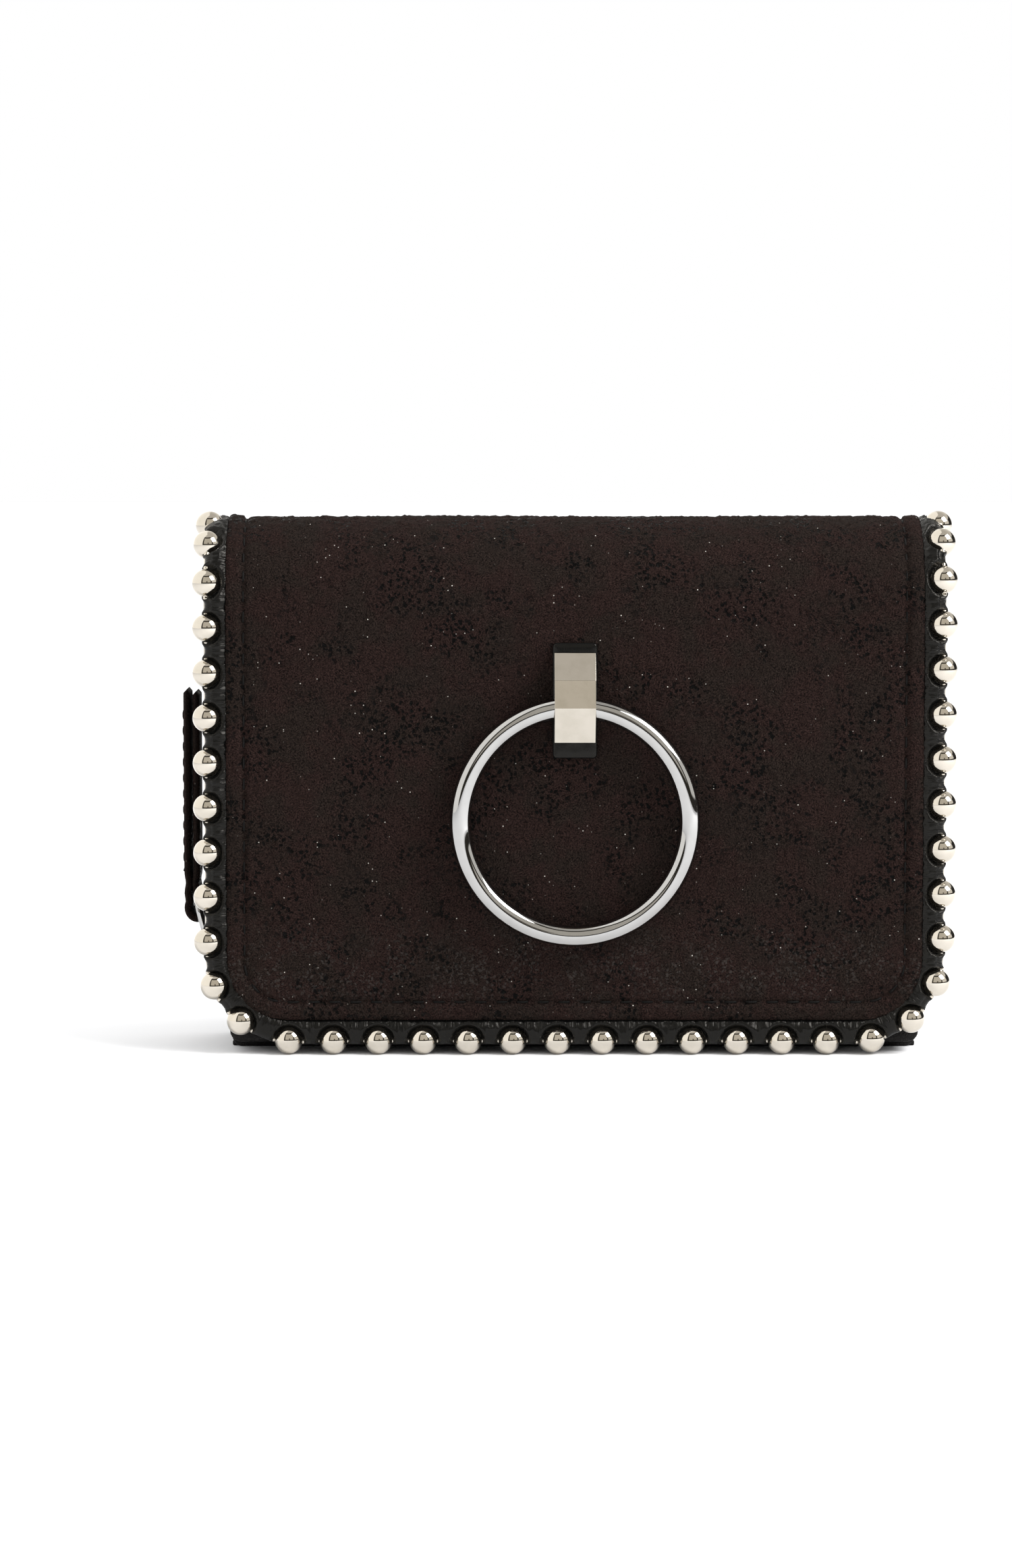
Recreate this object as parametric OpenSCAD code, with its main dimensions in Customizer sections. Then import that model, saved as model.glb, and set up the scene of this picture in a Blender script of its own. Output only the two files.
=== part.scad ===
// Flap wallet with ball-chain trim, a hanging ring and a zip-around rear pocket.
// X runs across the width, -Y is the front, +Z is up. The origin lies on the base face, below the arch's axis.

/* [Body] */
// Width of the body across its side walls
body_w = 102; // [100:1:106]
// Height of the arch's axis above the base
arch_z = 67.2; // [66.8:0.2:69]
// Outer radius of the arch, half of the body's depth
arch_r = 12.6; // [12.6:0.1:13]
// Corner radius of the body panels
body_corner_r = 1.6; // [1:0.1:3]

/* [Layers] */
// Thickness of the outer suede
skin_t = 0.7; // [0.6:0.05:0.8]
// Thickness of the leatherboard stiffeners
board_t = 1.0; // [0.9:0.05:1.1]
// Thickness of the linings
lining_t = 0.7; // [0.6:0.05:0.8]

/* [Card slots] */
// Width of a card slot
slot_w = 87; // [86.4:0.2:88]
// Depth of a card slot
slot_deep = 45; // [44:0.5:45.5]
// Gap that holds one card
card_gap = 1.0; // [0.9:0.05:1.05]
// Step in height from one slot to the next
slot_step = 8; // [6:0.5:8]

/* [Flap] */
// Width of the flap's suede
flap_w = 103; // [102:0.5:104]
// Height of the suede's lower edge above the base
flap_bottom = 5.2; // [5.2:0.1:5.6]
// Angle of the front fold, counted from the front over the top
front_fold = 59.5; // [59:0.5:60]
// Angle of the rear fold
rear_fold = 130; // [125:1:135]

/* [Ball chain] */
// Diameter of a ball
bead_d = 4.2; // [4:0.1:4.2]
// Balls along the flap's edge
bead_count = 40; // [40:1:40]
// Distance between ball centres
bead_pitch = 6.68; // [6.67:0.01:6.69]
// Extra space between two balls at the lower left corner
corner_gap = 1.1; // [1:0.05:1.15]
// Shift of the chain along its path
chain_shift = 0.8; // [0.7:0.05:0.9]
// Distance from the suede's edge to the ball centres
bead_out = 3.1; // [3:0.05:3.2]
// Width of the leather piping's roll
roll_w = 3.6; // [3.4:0.1:3.6]
// Diameter of the links between the balls
link_d = 0.9; // [0.8:0.05:1]

/* [Ring and bridge] */
// Outer diameter of the ring
ring_od = 37; // [35:0.1:38]
// Diameter of the ring's wire
ring_wire = 3.1; // [2.8:0.05:3.1]
// Height of the ring's pivot
ring_pivot_z = 52.1; // [51.9:0.1:52.3]
// Width of the bridge
bridge_w = 6.1; // [5.6:0.1:6.5]

/* [Zip and puller] */
// Depth position of the zip
zip_y = 5.9; // [5.8:0.05:6]
// Height of the slider when the zip is shut
slider_z = 12.5; // [12:0.5:14]
// Width of the puller strap
strap_w = 7.5; // [6:0.1:7.6]
// Height of the puller strap's top
strap_top = 53.5; // [48:0.5:54]

/* [Hidden] */
$fn = 64;

SUEDE = [0.15, 0.12, 0.11];
PIPING = [0.17, 0.17, 0.17];
LINING = [0.1, 0.1, 0.1];
BOARD = [0.35, 0.3, 0.25];
NICKEL = [0.78, 0.76, 0.7];
CHROME = [0.85, 0.86, 0.87];
TAPE = [0.07, 0.07, 0.07];

// how far a cutting body reaches past what it cuts
cut = 1;

// radii of the layers over the arch, from the outside in
skin_in = arch_r - skin_t;
board_in = skin_in - board_t;
lining_in = board_in - lining_t;
fold_gap = 0.36;
fold_gap_deg = fold_gap / arch_r * 180 / PI;
wall_t = 0.8;
floor_t = 0.8;
// fit of a layer between the side walls and above the floor
layer_fit = 0.2;
inside_w = body_w - 2 * wall_t;
inner_layer_w = inside_w - 2 * layer_fit;
inner_layer_low = floor_t + layer_fit;

// card section, from the front to the back
front_wall = 1.4;
slot_wall = 0.7;
front_y = -9;
slot_top = 48;
slot_edge = 8;
card_w = slot_w + 2 * slot_edge;
// the panels and borders of the slots end above the base
card_low = 1.5;
middle_slot_y = front_y + front_wall + card_gap;
rear_slot_y = middle_slot_y + slot_wall + card_gap;
backing_y = rear_slot_y + slot_wall + card_gap;
backing_t = 0.8;
backing_top = 72;
pocket_y = backing_y + backing_t;
pocket_t = 4.3;
mid_y = pocket_y + pocket_t;
mid_t = 1;
zip_front_y = mid_y + mid_t;
body_top = 71.6;
gusset_t = 0.8;
gusset_fold = 2.2;
gusset_drop = 2;

// zip around the rear pocket
zip_top = 71;
zip_x = body_w / 2 - 0.4;
zip_corner_r = 6;
tape_t = 0.5;
teeth_t = 1.4;
teeth_w = 1.2;
teeth_gap = 1;
tape_gap = 1.2;
band_y = 8.9;
band_drop = 1;
zip_end_z = 6;
stop_h = 1.4;

// trim path: the balls run in the middle of the flap's thickness
trim_r = (arch_r + lining_in) / 2;
trim_x = flap_w / 2 + bead_out;
trim_z = flap_bottom - bead_out;
trim_corner_r = 13;
roll_t = 3.2;
roll_out = -0.6;
flange_out = 1.5;
flange_w = 3.4;
flange_t = 0.9;
bead_r = bead_d / 2;
bead_fit = 0.03;
// the leftmost ball of the lower row
first_low_bead = 13;
run_flat = trim_x - trim_corner_r;
run_corner = trim_corner_r * PI / 2;
run_side = arch_z - trim_z - trim_corner_r;
roll_clear = 1.15;
roll_clear_deg = roll_clear / trim_r * 180 / PI;
tail_deg = 14;
flange_short_deg = 1;
tail_ends = [arch_deg(bead_s(0)) + tail_deg, arch_deg(bead_s(bead_count - 1)) + tail_deg];

// how far the inner layers stay inside the suede's edge
board_inset = flange_w + 2;
lining_inset = 0.5;

// magnets
magnet_r = 6;
magnet_z = 16;
body_magnet_t = 0.9;

// ring and bridge
strip_t = 0.9;
strip_w = 6.6;
strip_low = 44.4;
strip_high = 61.5;
ring_r = (ring_od - ring_wire) / 2;
ring_back_gap = 0.35;
ring_y = -arch_r - strip_t - ring_back_gap - ring_wire / 2;
tunnel_gap = 0.48;
tunnel_r = ring_wire / 2 + tunnel_gap;
bridge_wall = 0.75;
bridge_low = 46.8;
bridge_high = 60.1;
bridge_upper_ridge = 56.2;
// the bridge's outline: its front ridge, the slope behind it, and its two feet
bridge_ridge_y = ring_y - tunnel_r - bridge_wall;
bridge_slope = 0.8;
bridge_low_foot = 1.1;
bridge_high_foot = 0.9;
prong_r = 0.6;
prong_hole_r = 0.65;
washer_w = 5;
washer_t = 0.5;
prong_inset = 1.6;
prong_zs = [bridge_low + prong_inset, bridge_high - prong_inset];

// slider and puller, on the left side
slider_l = 8.5;
slider_w = 6.4;
slider_in_w = 5.2;
plate_t = 1;
inner_plate_t = 0.8;
slider_fit = 0.4;
slider_out_x = -zip_x - teeth_t / 2 - slider_fit;
slider_in_x = -zip_x + teeth_t / 2 + slider_fit;
slider_nose = 1.6;
// how far joined pieces of the slider reach into each other
joint_overlap = 0.1;
guide_w = 0.55;
guide_h = 0.55;
guide_l = slider_l - 2;
post_w = 0.4;
post_l = slider_l / 2 - 1.5;
post_rise = 1;
pivot_out = 2.9;
pivot_x = slider_out_x - pivot_out;
lug_w = 1.6;
lug_r = 1.55;
loop_wire_r = 0.55;
loop_fit = 0.3;
eye_x = -57;
eye_low = 18.7;
eye_high = 21.9;
eye_r = 2.15;
eye_hole_r = 0.9;
loop_bar_z = 21.2;
loop_w = 8.6;
loop_corner_r = 1.5;
strap_t = 1.3;
strap_out_x = -58.2;
strap_layer_gap = 0.1;
strap_step = 0.3;
strap_low = eye_high + eye_r - 1;
loop_tilt = atan2(pivot_x - eye_x, loop_bar_z - slider_z);
loop_l = norm([pivot_x - eye_x, loop_bar_z - slider_z]);

// arc length of ball i along the trim, from the middle of the lower edge
function bead_s(i) =
    (i - (bead_count - 1) / 2) * bead_pitch + chain_shift - (i < first_low_bead ? corner_gap : 0);
// angle over the arch for a place on the trim
function arch_deg(s) = (abs(s) - run_flat - run_corner - run_side) / trim_r * 180 / PI;
function corner_deg(s) = (abs(s) - run_flat) / trim_corner_r * 180 / PI;
function on_corner(s, a) =
    [sign(s) * (run_flat + trim_corner_r * sin(a)), -trim_r, trim_z + trim_corner_r * (1 - cos(a))];
function on_arch(s, a) = [sign(s) * trim_x, -trim_r * cos(a), arch_z + trim_r * sin(a)];
// point on the trim's path
function trim_point(s) =
    abs(s) < run_flat ? [s, -trim_r, trim_z]
    : abs(s) < run_flat + run_corner ? on_corner(s, corner_deg(s))
    : arch_deg(s) < 0 ? [sign(s) * trim_x, -trim_r, arch_z + arch_deg(s) * PI / 180 * trim_r]
    : on_arch(s, arch_deg(s));

// a Y-Z outline, extruded across the width
module across(w) {
    rotate([90, 0, 90])
        linear_extrude(w, center = true)
            children();
}

// an X-Z outline, as a plate from y to y + t
module plate(y, t) {
    translate([0, y + t, 0])
        rotate([90, 0, 0])
            linear_extrude(t)
                children();
}

// ring sector of the arch in the Y-Z plane, angles from the front over the top
module arch_sector(r_out, r_in, a_from, a_to) {
    reach = 2 * arch_r;
    a_mid = (a_from + a_to) / 2;
    translate([0, arch_z])
        intersection() {
            difference() {
                circle(r_out, $fn = 128);
                circle(r_in, $fn = 128);
            }
            polygon([[0, 0],
                     reach * [-cos(a_from), sin(a_from)],
                     reach * [-cos(a_mid), sin(a_mid)],
                     reach * [-cos(a_to), sin(a_to)]]);
        }
}

// panel outline with round lower corners
module panel_outline(w, low, high, r) {
    translate([-w / 2, low + r])
        square([w, high - low - r]);
    translate([-w / 2 + r, low])
        square([w - 2 * r, 2 * r]);
    for (side = [-1, 1])
        translate([side * (w / 2 - r), low + r])
            circle(r);
}

// one layer of the back, with its part of the arch
module back_layer(w, low, r_out, r_in) {
    plate(r_in, r_out - r_in)
        panel_outline(w, low, arch_z, body_corner_r);
    across(w)
        arch_sector(r_out, r_in, rear_fold + fold_gap_deg / 2, 180);
}

module back_cover() {
    color(SUEDE)
        back_layer(flap_w, 0, arch_r, skin_in);
}

module back_stiffener() {
    color(BOARD)
        back_layer(inner_layer_w, inner_layer_low, skin_in, board_in);
}

module back_lining() {
    color(LINING)
        back_layer(inner_layer_w, inner_layer_low, board_in, lining_in);
}

// suede wall between the zip and the back
module side_band(side) {
    translate([side > 0 ? body_w / 2 - wall_t : -body_w / 2, band_y, 0])
        cube([wall_t, skin_in - band_y, arch_z - band_drop]);
}

module side_band_left() {
    color(SUEDE)
        side_band(-1);
}

module side_band_right() {
    color(SUEDE)
        side_band(1);
}

module bottom_panel() {
    color(SUEDE)
        translate([-inside_w / 2, zip_front_y, 0])
            cube([inside_w, skin_in - zip_front_y, floor_t]);
}

module mid_panel() {
    color(SUEDE)
        plate(mid_y, mid_t)
            panel_outline(body_w, 0, body_top, body_corner_r);
}

// outline of the zip's path, open at the base, with a given thickness
module zip_outline(t, low) {
    difference() {
        zip_shape(zip_x + t / 2, zip_top + t / 2, zip_corner_r + t / 2, low);
        zip_shape(zip_x - t / 2, zip_top - t / 2, zip_corner_r - t / 2, low - cut);
    }
}

module zip_shape(x, top, r, low) {
    translate([-x, low])
        square([2 * x, top - r - low]);
    translate([-x + r, low])
        square([2 * (x - r), top - low]);
    for (side = [-1, 1])
        translate([side * (x - r), top - r])
            circle(r);
}

module zip_tape_front() {
    color(TAPE)
        plate(zip_front_y, zip_y - tape_gap / 2 - zip_front_y)
            zip_outline(tape_t, floor_t);
}

module zip_tape_rear() {
    color(TAPE)
        plate(zip_y + tape_gap / 2, band_y - zip_y - tape_gap / 2)
            zip_outline(tape_t, floor_t);
}

// two rows of teeth, clamped on the tape edges, with the slot that the slider's post runs in
module zip_teeth() {
    color(NICKEL)
        difference() {
            for (row_y = [zip_y - teeth_gap / 2 - teeth_w, zip_y + teeth_gap / 2])
                plate(row_y, teeth_w)
                    zip_outline(teeth_t, zip_end_z + stop_h);
            zip_tape_front();
            zip_tape_rear();
        }
}

// end stops that join the two tapes
module zip_stops() {
    stop_w = teeth_gap + 2 * teeth_w;
    color(NICKEL)
        difference() {
            for (side = [-1, 1])
                translate([side * zip_x - teeth_t / 2, zip_y - stop_w / 2, zip_end_z])
                    cube([teeth_t, stop_w, stop_h]);
            zip_tape_front();
            zip_tape_rear();
        }
}

// inward-folded side of the note pocket
module gusset(side) {
    front_x = card_w / 2;
    rear_x = body_w / 2 - gusset_t;
    fold_x = front_x - gusset_fold;
    fold_y = pocket_y + pocket_t / 2;
    color(LINING)
        translate([0, 0, floor_t])
            linear_extrude(backing_top - floor_t - gusset_drop)
                polygon([[side * (front_x - gusset_t), pocket_y],
                         [side * front_x, pocket_y],
                         [side * (fold_x + gusset_t), fold_y],
                         [side * rear_x, mid_y],
                         [side * (rear_x - gusset_t), mid_y],
                         [side * fold_x, fold_y]]);
}

module gusset_left() {
    gusset(-1);
}

module gusset_right() {
    gusset(1);
}

module pocket_floor() {
    color(LINING)
        translate([-card_w / 2, pocket_y, 0])
            cube([card_w, pocket_t, floor_t]);
}

module card_backing() {
    color(LINING)
        plate(backing_y, backing_t)
            panel_outline(card_w, 0, backing_top, body_corner_r);
}

// front panel of a card slot
module slot_panel(y, wall, top) {
    plate(y, wall)
        panel_outline(card_w, card_low, top, body_corner_r);
}

// U-shaped border that glues a slot's panel to the one behind it and holds the card's gap open
module slot_border(y, top) {
    low = top - slot_deep;
    color(LINING)
        plate(y, card_gap)
            difference() {
                panel_outline(card_w, card_low, top, body_corner_r);
                translate([-slot_w / 2, low])
                    square([slot_w, slot_deep + cut]);
            }
}

module card_slot_rear() {
    color(LINING)
        slot_panel(rear_slot_y, slot_wall, slot_top + 2 * slot_step);
}

module card_slot_middle() {
    color(LINING)
        slot_panel(middle_slot_y, slot_wall, slot_top + slot_step);
}

module card_slot_front() {
    color(LINING)
        difference() {
            slot_panel(front_y, front_wall, slot_top);
            magnet_disc(front_y + front_wall - body_magnet_t, body_magnet_t + cut);
        }
}

module slot_border_rear() {
    slot_border(rear_slot_y + slot_wall, slot_top + 2 * slot_step);
}

module slot_border_middle() {
    slot_border(middle_slot_y + slot_wall, slot_top + slot_step);
}

module slot_border_front() {
    slot_border(front_y + front_wall, slot_top);
}

module magnet_disc(y, t) {
    translate([0, y + t, magnet_z])
        rotate([90, 0, 0])
            cylinder(h = t, r = magnet_r);
}

module body_magnet() {
    color(NICKEL)
        magnet_disc(front_y + front_wall - body_magnet_t, body_magnet_t);
}

module flap_magnet() {
    color(NICKEL)
        magnet_disc(-skin_in, board_t);
}

// one layer of the spine, between the two folds
module spine_layer(w, r_out, r_in) {
    across(w)
        arch_sector(r_out, r_in, front_fold + fold_gap_deg / 2, rear_fold - fold_gap_deg / 2);
}

module spine_cover() {
    color(SUEDE)
        spine_layer(flap_w, arch_r, skin_in);
}

module spine_stiffener() {
    color(BOARD)
        spine_layer(flap_w - 2 * board_inset, skin_in, board_in);
}

module spine_lining() {
    color(LINING)
        spine_layer(flap_w - 2 * lining_inset, board_in, lining_in);
}

// one layer of the flap: the front panel and its part of the arch
module flap_layer(w, low, r, r_out, r_in) {
    plate(-r_out, r_out - r_in)
        panel_outline(w, low, arch_z, r);
    across(w)
        arch_sector(r_out, r_in, 0, front_fold - fold_gap_deg / 2);
}

// places for the bridge's prongs
module at_prongs() {
    for (z = prong_zs)
        translate([0, 0, z])
            rotate([90, 0, 0])
                children();
}

module flap_cover() {
    color(SUEDE)
        difference() {
            flap_layer(flap_w, flap_bottom, trim_corner_r - bead_out, arch_r, skin_in);
            at_prongs()
                cylinder(h = 2 * arch_r, r = prong_hole_r);
        }
}

module flap_stiffener() {
    color(BOARD)
        difference() {
            flap_layer(flap_w - 2 * board_inset, flap_bottom + board_inset,
                       trim_corner_r - bead_out - board_inset, skin_in, board_in);
            magnet_disc(-skin_in - cut, board_t + 2 * cut);
            at_prongs()
                cylinder(h = 2 * arch_r, r = prong_hole_r);
            washer_block(washer_t + cut);
        }
}

module flap_lining() {
    color(LINING)
        flap_layer(flap_w - 2 * lining_inset, flap_bottom + lining_inset,
                   trim_corner_r - bead_out - lining_inset, board_in, lining_in);
}

// band of the piping along the flap's edge, t thick, between two insets from the ball centres
module edge_band(t, out_inset, in_inset, a_end) {
    plate(-trim_r - t / 2, t)
        difference() {
            inset_outline(out_inset, arch_z);
            inset_outline(in_inset, arch_z + cut);
        }
    side_bands(t, out_inset, in_inset, 0, [a_end, a_end]);
}

// the flap's outline at an inset from the ball centres
module inset_outline(inset, high) {
    panel_outline(2 * (trim_x - inset), trim_z + inset, high, trim_corner_r - inset);
}

// the band over the arch on both sides, ending at its own angle on each
module side_bands(t, out_inset, in_inset, a_from, ends) {
    for (side = [-1, 1])
        translate([side * (trim_x - (out_inset + in_inset) / 2), 0, 0])
            across(in_inset - out_inset)
                arch_sector(trim_r + t / 2, trim_r - t / 2, a_from, side < 0 ? ends[0] : ends[1]);
}

// balls from index first to index last
module balls(first, last) {
    for (i = [first : last])
        translate(trim_point(bead_s(i)))
            sphere(bead_r, $fn = 48);
}

// hole that a ball stands in, through the thickness of the piping
module ball_hole(s) {
    translate(trim_point(s))
        rotate([90 - max(0, arch_deg(s)), 0, 0])
            cylinder(h = 2 * roll_t, r = bead_r + bead_fit, center = true);
}

// piping: a cord-stiffened roll with a thin edge that is sewn between the suede and the lining
module flap_piping() {
    color(PIPING)
        difference() {
            union() {
                edge_band(roll_t, roll_out, roll_out + roll_w, front_fold - roll_clear_deg);
                edge_band(flange_t, flange_out, bead_out + flange_w, front_fold - fold_gap_deg);
            }
            for (i = [1 : bead_count - 2])
                ball_hole(bead_s(i));
        }
}

// straight links between neighbouring balls
module chain_links(first, last) {
    for (i = [first : last - 1]) {
        from = trim_point(bead_s(i));
        step = trim_point(bead_s(i + 1)) - from;
        difference() {
            translate(from)
                rotate([0, acos(step[2] / norm(step)), atan2(step[1], step[0])])
                    cylinder(h = norm(step), r = link_d / 2, $fn = 24);
            balls(i, i + 1);
        }
    }
}

module flap_beads() {
    color(NICKEL)
        balls(1, bead_count - 2);
}

module flap_links() {
    color(NICKEL)
        chain_links(1, bead_count - 2);
}

// the piping's two ends over the spine, each just past its last ball
module spine_piping() {
    color(PIPING)
        difference() {
            union() {
                side_bands(roll_t, roll_out, roll_out + roll_w, front_fold + roll_clear_deg, tail_ends);
                side_bands(flange_t, flange_out, bead_out + flange_w, front_fold + fold_gap_deg,
                           tail_ends - [flange_short_deg, flange_short_deg]);
            }
            for (i = [0, bead_count - 1])
                ball_hole(bead_s(i));
        }
}

module spine_beads() {
    color(NICKEL)
        for (i = [0, bead_count - 1])
            translate(trim_point(bead_s(i)))
                sphere(bead_r, $fn = 48);
}

module bridge_strip() {
    color(PIPING)
        difference() {
            translate([-strip_w / 2, -arch_r - strip_t, strip_low])
                cube([strip_w, strip_t, strip_high - strip_low]);
            at_prongs()
                cylinder(h = 2 * arch_r, r = prong_hole_r);
        }
}

// faceted metal loop with the tunnel that the ring's wire turns in
module bridge() {
    back = -arch_r - strip_t;
    color(NICKEL)
        difference() {
            union() {
                across(bridge_w)
                    polygon([[back, bridge_low],
                             [back - bridge_low_foot, bridge_low],
                             [bridge_ridge_y, ring_pivot_z],
                             [bridge_ridge_y + bridge_slope, bridge_upper_ridge],
                             [back - bridge_high_foot, bridge_high],
                             [back, bridge_high]]);
                at_prongs()
                    cylinder(h = -back, r = prong_r);
            }
            translate([0, ring_y, ring_pivot_z])
                rotate([0, 90, 0])
                    cylinder(h = 2 * bridge_w, r = tunnel_r, center = true);
            translate([-bridge_w, -board_in - washer_t, bridge_low - cut])
                cube([2 * bridge_w, arch_r, bridge_high - bridge_low + 2 * cut]);
        }
}

// plate that the prongs are riveted to, let into the stiffener
module washer_block(t) {
    translate([-washer_w / 2, -board_in - washer_t, bridge_low])
        cube([washer_w, t, bridge_high - bridge_low]);
}

module bridge_washer() {
    color(NICKEL)
        washer_block(washer_t);
}

module ring() {
    color(CHROME)
        translate([0, ring_y, ring_pivot_z - ring_r])
            rotate([90, 0, 0])
                rotate_extrude($fn = 128)
                    translate([ring_r, 0])
                        circle(ring_wire / 2, $fn = 48);
}

// plate of the slider in the Y-Z plane, from x outwards along +X by t
module slider_plate(x, t, w) {
    half_l = slider_l / 2;
    translate([x, 0, 0])
        rotate([90, 0, 90])
            linear_extrude(t)
                translate([zip_y, slider_z])
                    polygon([[-w / 2 + slider_nose, -half_l], [w / 2 - slider_nose, -half_l],
                             [w / 2, -half_l + slider_nose], [w / 2, half_l],
                             [-w / 2, half_l], [-w / 2, -half_l + slider_nose]]);
}

// slider: two plates joined by a post, side guides and the lug that holds the loop
module zip_slider() {
    guide_off = (slider_in_w - guide_w) / 2;
    color(NICKEL)
        difference() {
            union() {
                slider_plate(slider_out_x - plate_t, plate_t, slider_w);
                slider_plate(slider_in_x, inner_plate_t, slider_in_w);
                for (side = [-1, 1])
                    for (x = [slider_out_x - joint_overlap, slider_in_x - guide_h + joint_overlap])
                        translate([x, zip_y + side * guide_off - guide_w / 2, slider_z - guide_l / 2])
                            cube([guide_h, guide_w, guide_l]);
                translate([slider_out_x - joint_overlap, zip_y - post_w / 2, slider_z + post_rise])
                    cube([slider_in_x - slider_out_x + 2 * joint_overlap, post_w, post_l]);
                translate([pivot_x, zip_y - lug_w / 2, slider_z - lug_r])
                    cube([slider_out_x - plate_t / 2 - pivot_x, lug_w, 2 * lug_r]);
                translate([pivot_x, zip_y, slider_z])
                    rotate([90, 0, 0])
                        cylinder(h = lug_w, r = lug_r, center = true);
            }
            translate([pivot_x, zip_y, slider_z])
                rotate([90, 0, 0])
                    cylinder(h = 2 * lug_w, r = loop_wire_r + loop_fit, center = true);
        }
}

// wire loop: one bar turns in the slider's lug, the other holds the strap's eye
module puller_loop() {
    half = loop_w / 2 - loop_corner_r;
    color(CHROME)
        translate([pivot_x, zip_y, slider_z])
            rotate([0, -loop_tilt, 0])
                rotate([90, 0, 90]) {
                    for (y = [0, loop_l])
                        translate([0, y, 0])
                            rotate([0, 90, 0])
                                cylinder(h = 2 * half, r = loop_wire_r, center = true);
                    for (side = [-1, 1]) {
                        translate([side * loop_w / 2, loop_corner_r, 0])
                            rotate([-90, 0, 0])
                                cylinder(h = loop_l - 2 * loop_corner_r, r = loop_wire_r);
                        translate([side * half, loop_corner_r, 0])
                            rotate([0, 0, side > 0 ? 270 : 180])
                                loop_corner();
                        translate([side * half, loop_l - loop_corner_r, 0])
                            rotate([0, 0, side > 0 ? 0 : 90])
                                loop_corner();
                    }
                }
}

module loop_corner() {
    rotate_extrude(angle = 90)
        translate([loop_corner_r, 0])
            circle(loop_wire_r, $fn = 24);
}

// one layer of the strap with a round top, from x by its thickness
module strap_layer(x, top) {
    translate([x, strap_low])
        square([strap_t, top - strap_t / 2 - strap_low]);
    translate([x + strap_t / 2, top - strap_t / 2])
        circle(strap_t / 2);
}

module eye_outline(r) {
    translate([eye_x - r, eye_low])
        square([2 * r, eye_high - eye_low]);
    for (z = [eye_low, eye_high])
        translate([eye_x, z])
            circle(r);
}

// leather strap folded round the loop and sewn to itself
module puller_strap() {
    color(SUEDE)
        plate(zip_y - strap_w / 2, strap_w)
            difference() {
                union() {
                    strap_layer(strap_out_x, strap_top);
                    strap_layer(strap_out_x + strap_t + strap_layer_gap, strap_top - strap_step);
                    eye_outline(eye_r);
                }
                eye_outline(eye_hole_r);
            }
}

back_cover();
back_stiffener();
back_lining();
side_band_left();
side_band_right();
bottom_panel();
mid_panel();
zip_tape_front();
zip_tape_rear();
zip_teeth();
zip_stops();
gusset_left();
gusset_right();
pocket_floor();
card_backing();
card_slot_rear();
card_slot_middle();
card_slot_front();
slot_border_rear();
slot_border_middle();
slot_border_front();
body_magnet();
spine_cover();
spine_stiffener();
spine_lining();
spine_piping();
spine_beads();
flap_cover();
flap_stiffener();
flap_lining();
flap_piping();
flap_beads();
flap_links();
flap_magnet();
bridge_strip();
bridge();
bridge_washer();
ring();
zip_slider();
puller_loop();
puller_strap();
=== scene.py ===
"""Looks of the flap wallet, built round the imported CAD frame. Lengths are in metres."""

import math

import bmesh
import bpy
import numpy as np
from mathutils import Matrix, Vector


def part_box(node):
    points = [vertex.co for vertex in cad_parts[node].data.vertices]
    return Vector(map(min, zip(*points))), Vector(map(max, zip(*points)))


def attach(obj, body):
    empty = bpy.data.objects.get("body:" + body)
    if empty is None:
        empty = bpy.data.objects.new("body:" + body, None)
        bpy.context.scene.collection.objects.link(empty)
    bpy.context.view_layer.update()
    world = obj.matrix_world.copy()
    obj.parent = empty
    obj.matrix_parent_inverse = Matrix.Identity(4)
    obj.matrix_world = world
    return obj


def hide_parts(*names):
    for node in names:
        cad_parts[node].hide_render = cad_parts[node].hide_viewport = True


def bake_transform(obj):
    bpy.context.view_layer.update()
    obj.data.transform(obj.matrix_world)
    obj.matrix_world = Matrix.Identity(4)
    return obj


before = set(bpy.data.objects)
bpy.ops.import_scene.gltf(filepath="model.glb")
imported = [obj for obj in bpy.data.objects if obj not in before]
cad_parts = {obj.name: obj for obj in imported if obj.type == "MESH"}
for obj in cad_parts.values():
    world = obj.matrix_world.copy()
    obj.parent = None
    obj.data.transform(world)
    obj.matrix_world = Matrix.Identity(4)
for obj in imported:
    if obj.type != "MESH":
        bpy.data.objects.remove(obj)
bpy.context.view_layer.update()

MM = 0.001

# ---------------------------------------------------------------- sizes, from the frame

flap_low, flap_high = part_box("flap_cover")
back_low, back_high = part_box("back_cover")
ball_low, ball_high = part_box("flap_beads")

ARCH_R = back_high.y
ARCH_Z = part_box("spine_cover")[1].z - ARCH_R
SKIN_T = 0.7 * MM
BOARD_T = 1.0 * MM
LINING_T = 0.7 * MM
SKIN_IN = ARCH_R - SKIN_T
BOARD_IN = SKIN_IN - BOARD_T
LINING_IN = BOARD_IN - LINING_T
CREST = ARCH_Z + ARCH_R * math.pi / 2

FLAP_HALF = flap_high.x
FLAP_LOW = flap_low.z
BALL_R = 2.1 * MM
BALL_COUNT = 40
BALL_PITCH = 6.68 * MM
CHAIN_SHIFT = 0.8 * MM
CORNER_GAP = 1.1 * MM
FIRST_LOW_BALL = 13
TRIM_X = ball_high.x - BALL_R
TRIM_Z = ball_low.z + BALL_R
TRIM_R = (ARCH_R + LINING_IN) / 2
TRIM_CORNER = 13 * MM
BALL_OUT = TRIM_X - FLAP_HALF
RUN_FLAT = TRIM_X - TRIM_CORNER
RUN_CORNER = TRIM_CORNER * math.pi / 2
RUN_SIDE = ARCH_Z - TRIM_Z - TRIM_CORNER

FLAP_CORNER = TRIM_CORNER - BALL_OUT
BACK_CORNER = 1.6 * MM
STITCH_INSET = 2.75 * MM
# the fluffy edge of the suede reaches a little over the piping at the sides
SUEDE_HALF = FLAP_HALF + 0.35 * MM
SUEDE_CORNER = FLAP_CORNER - 1.1 * MM


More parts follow.
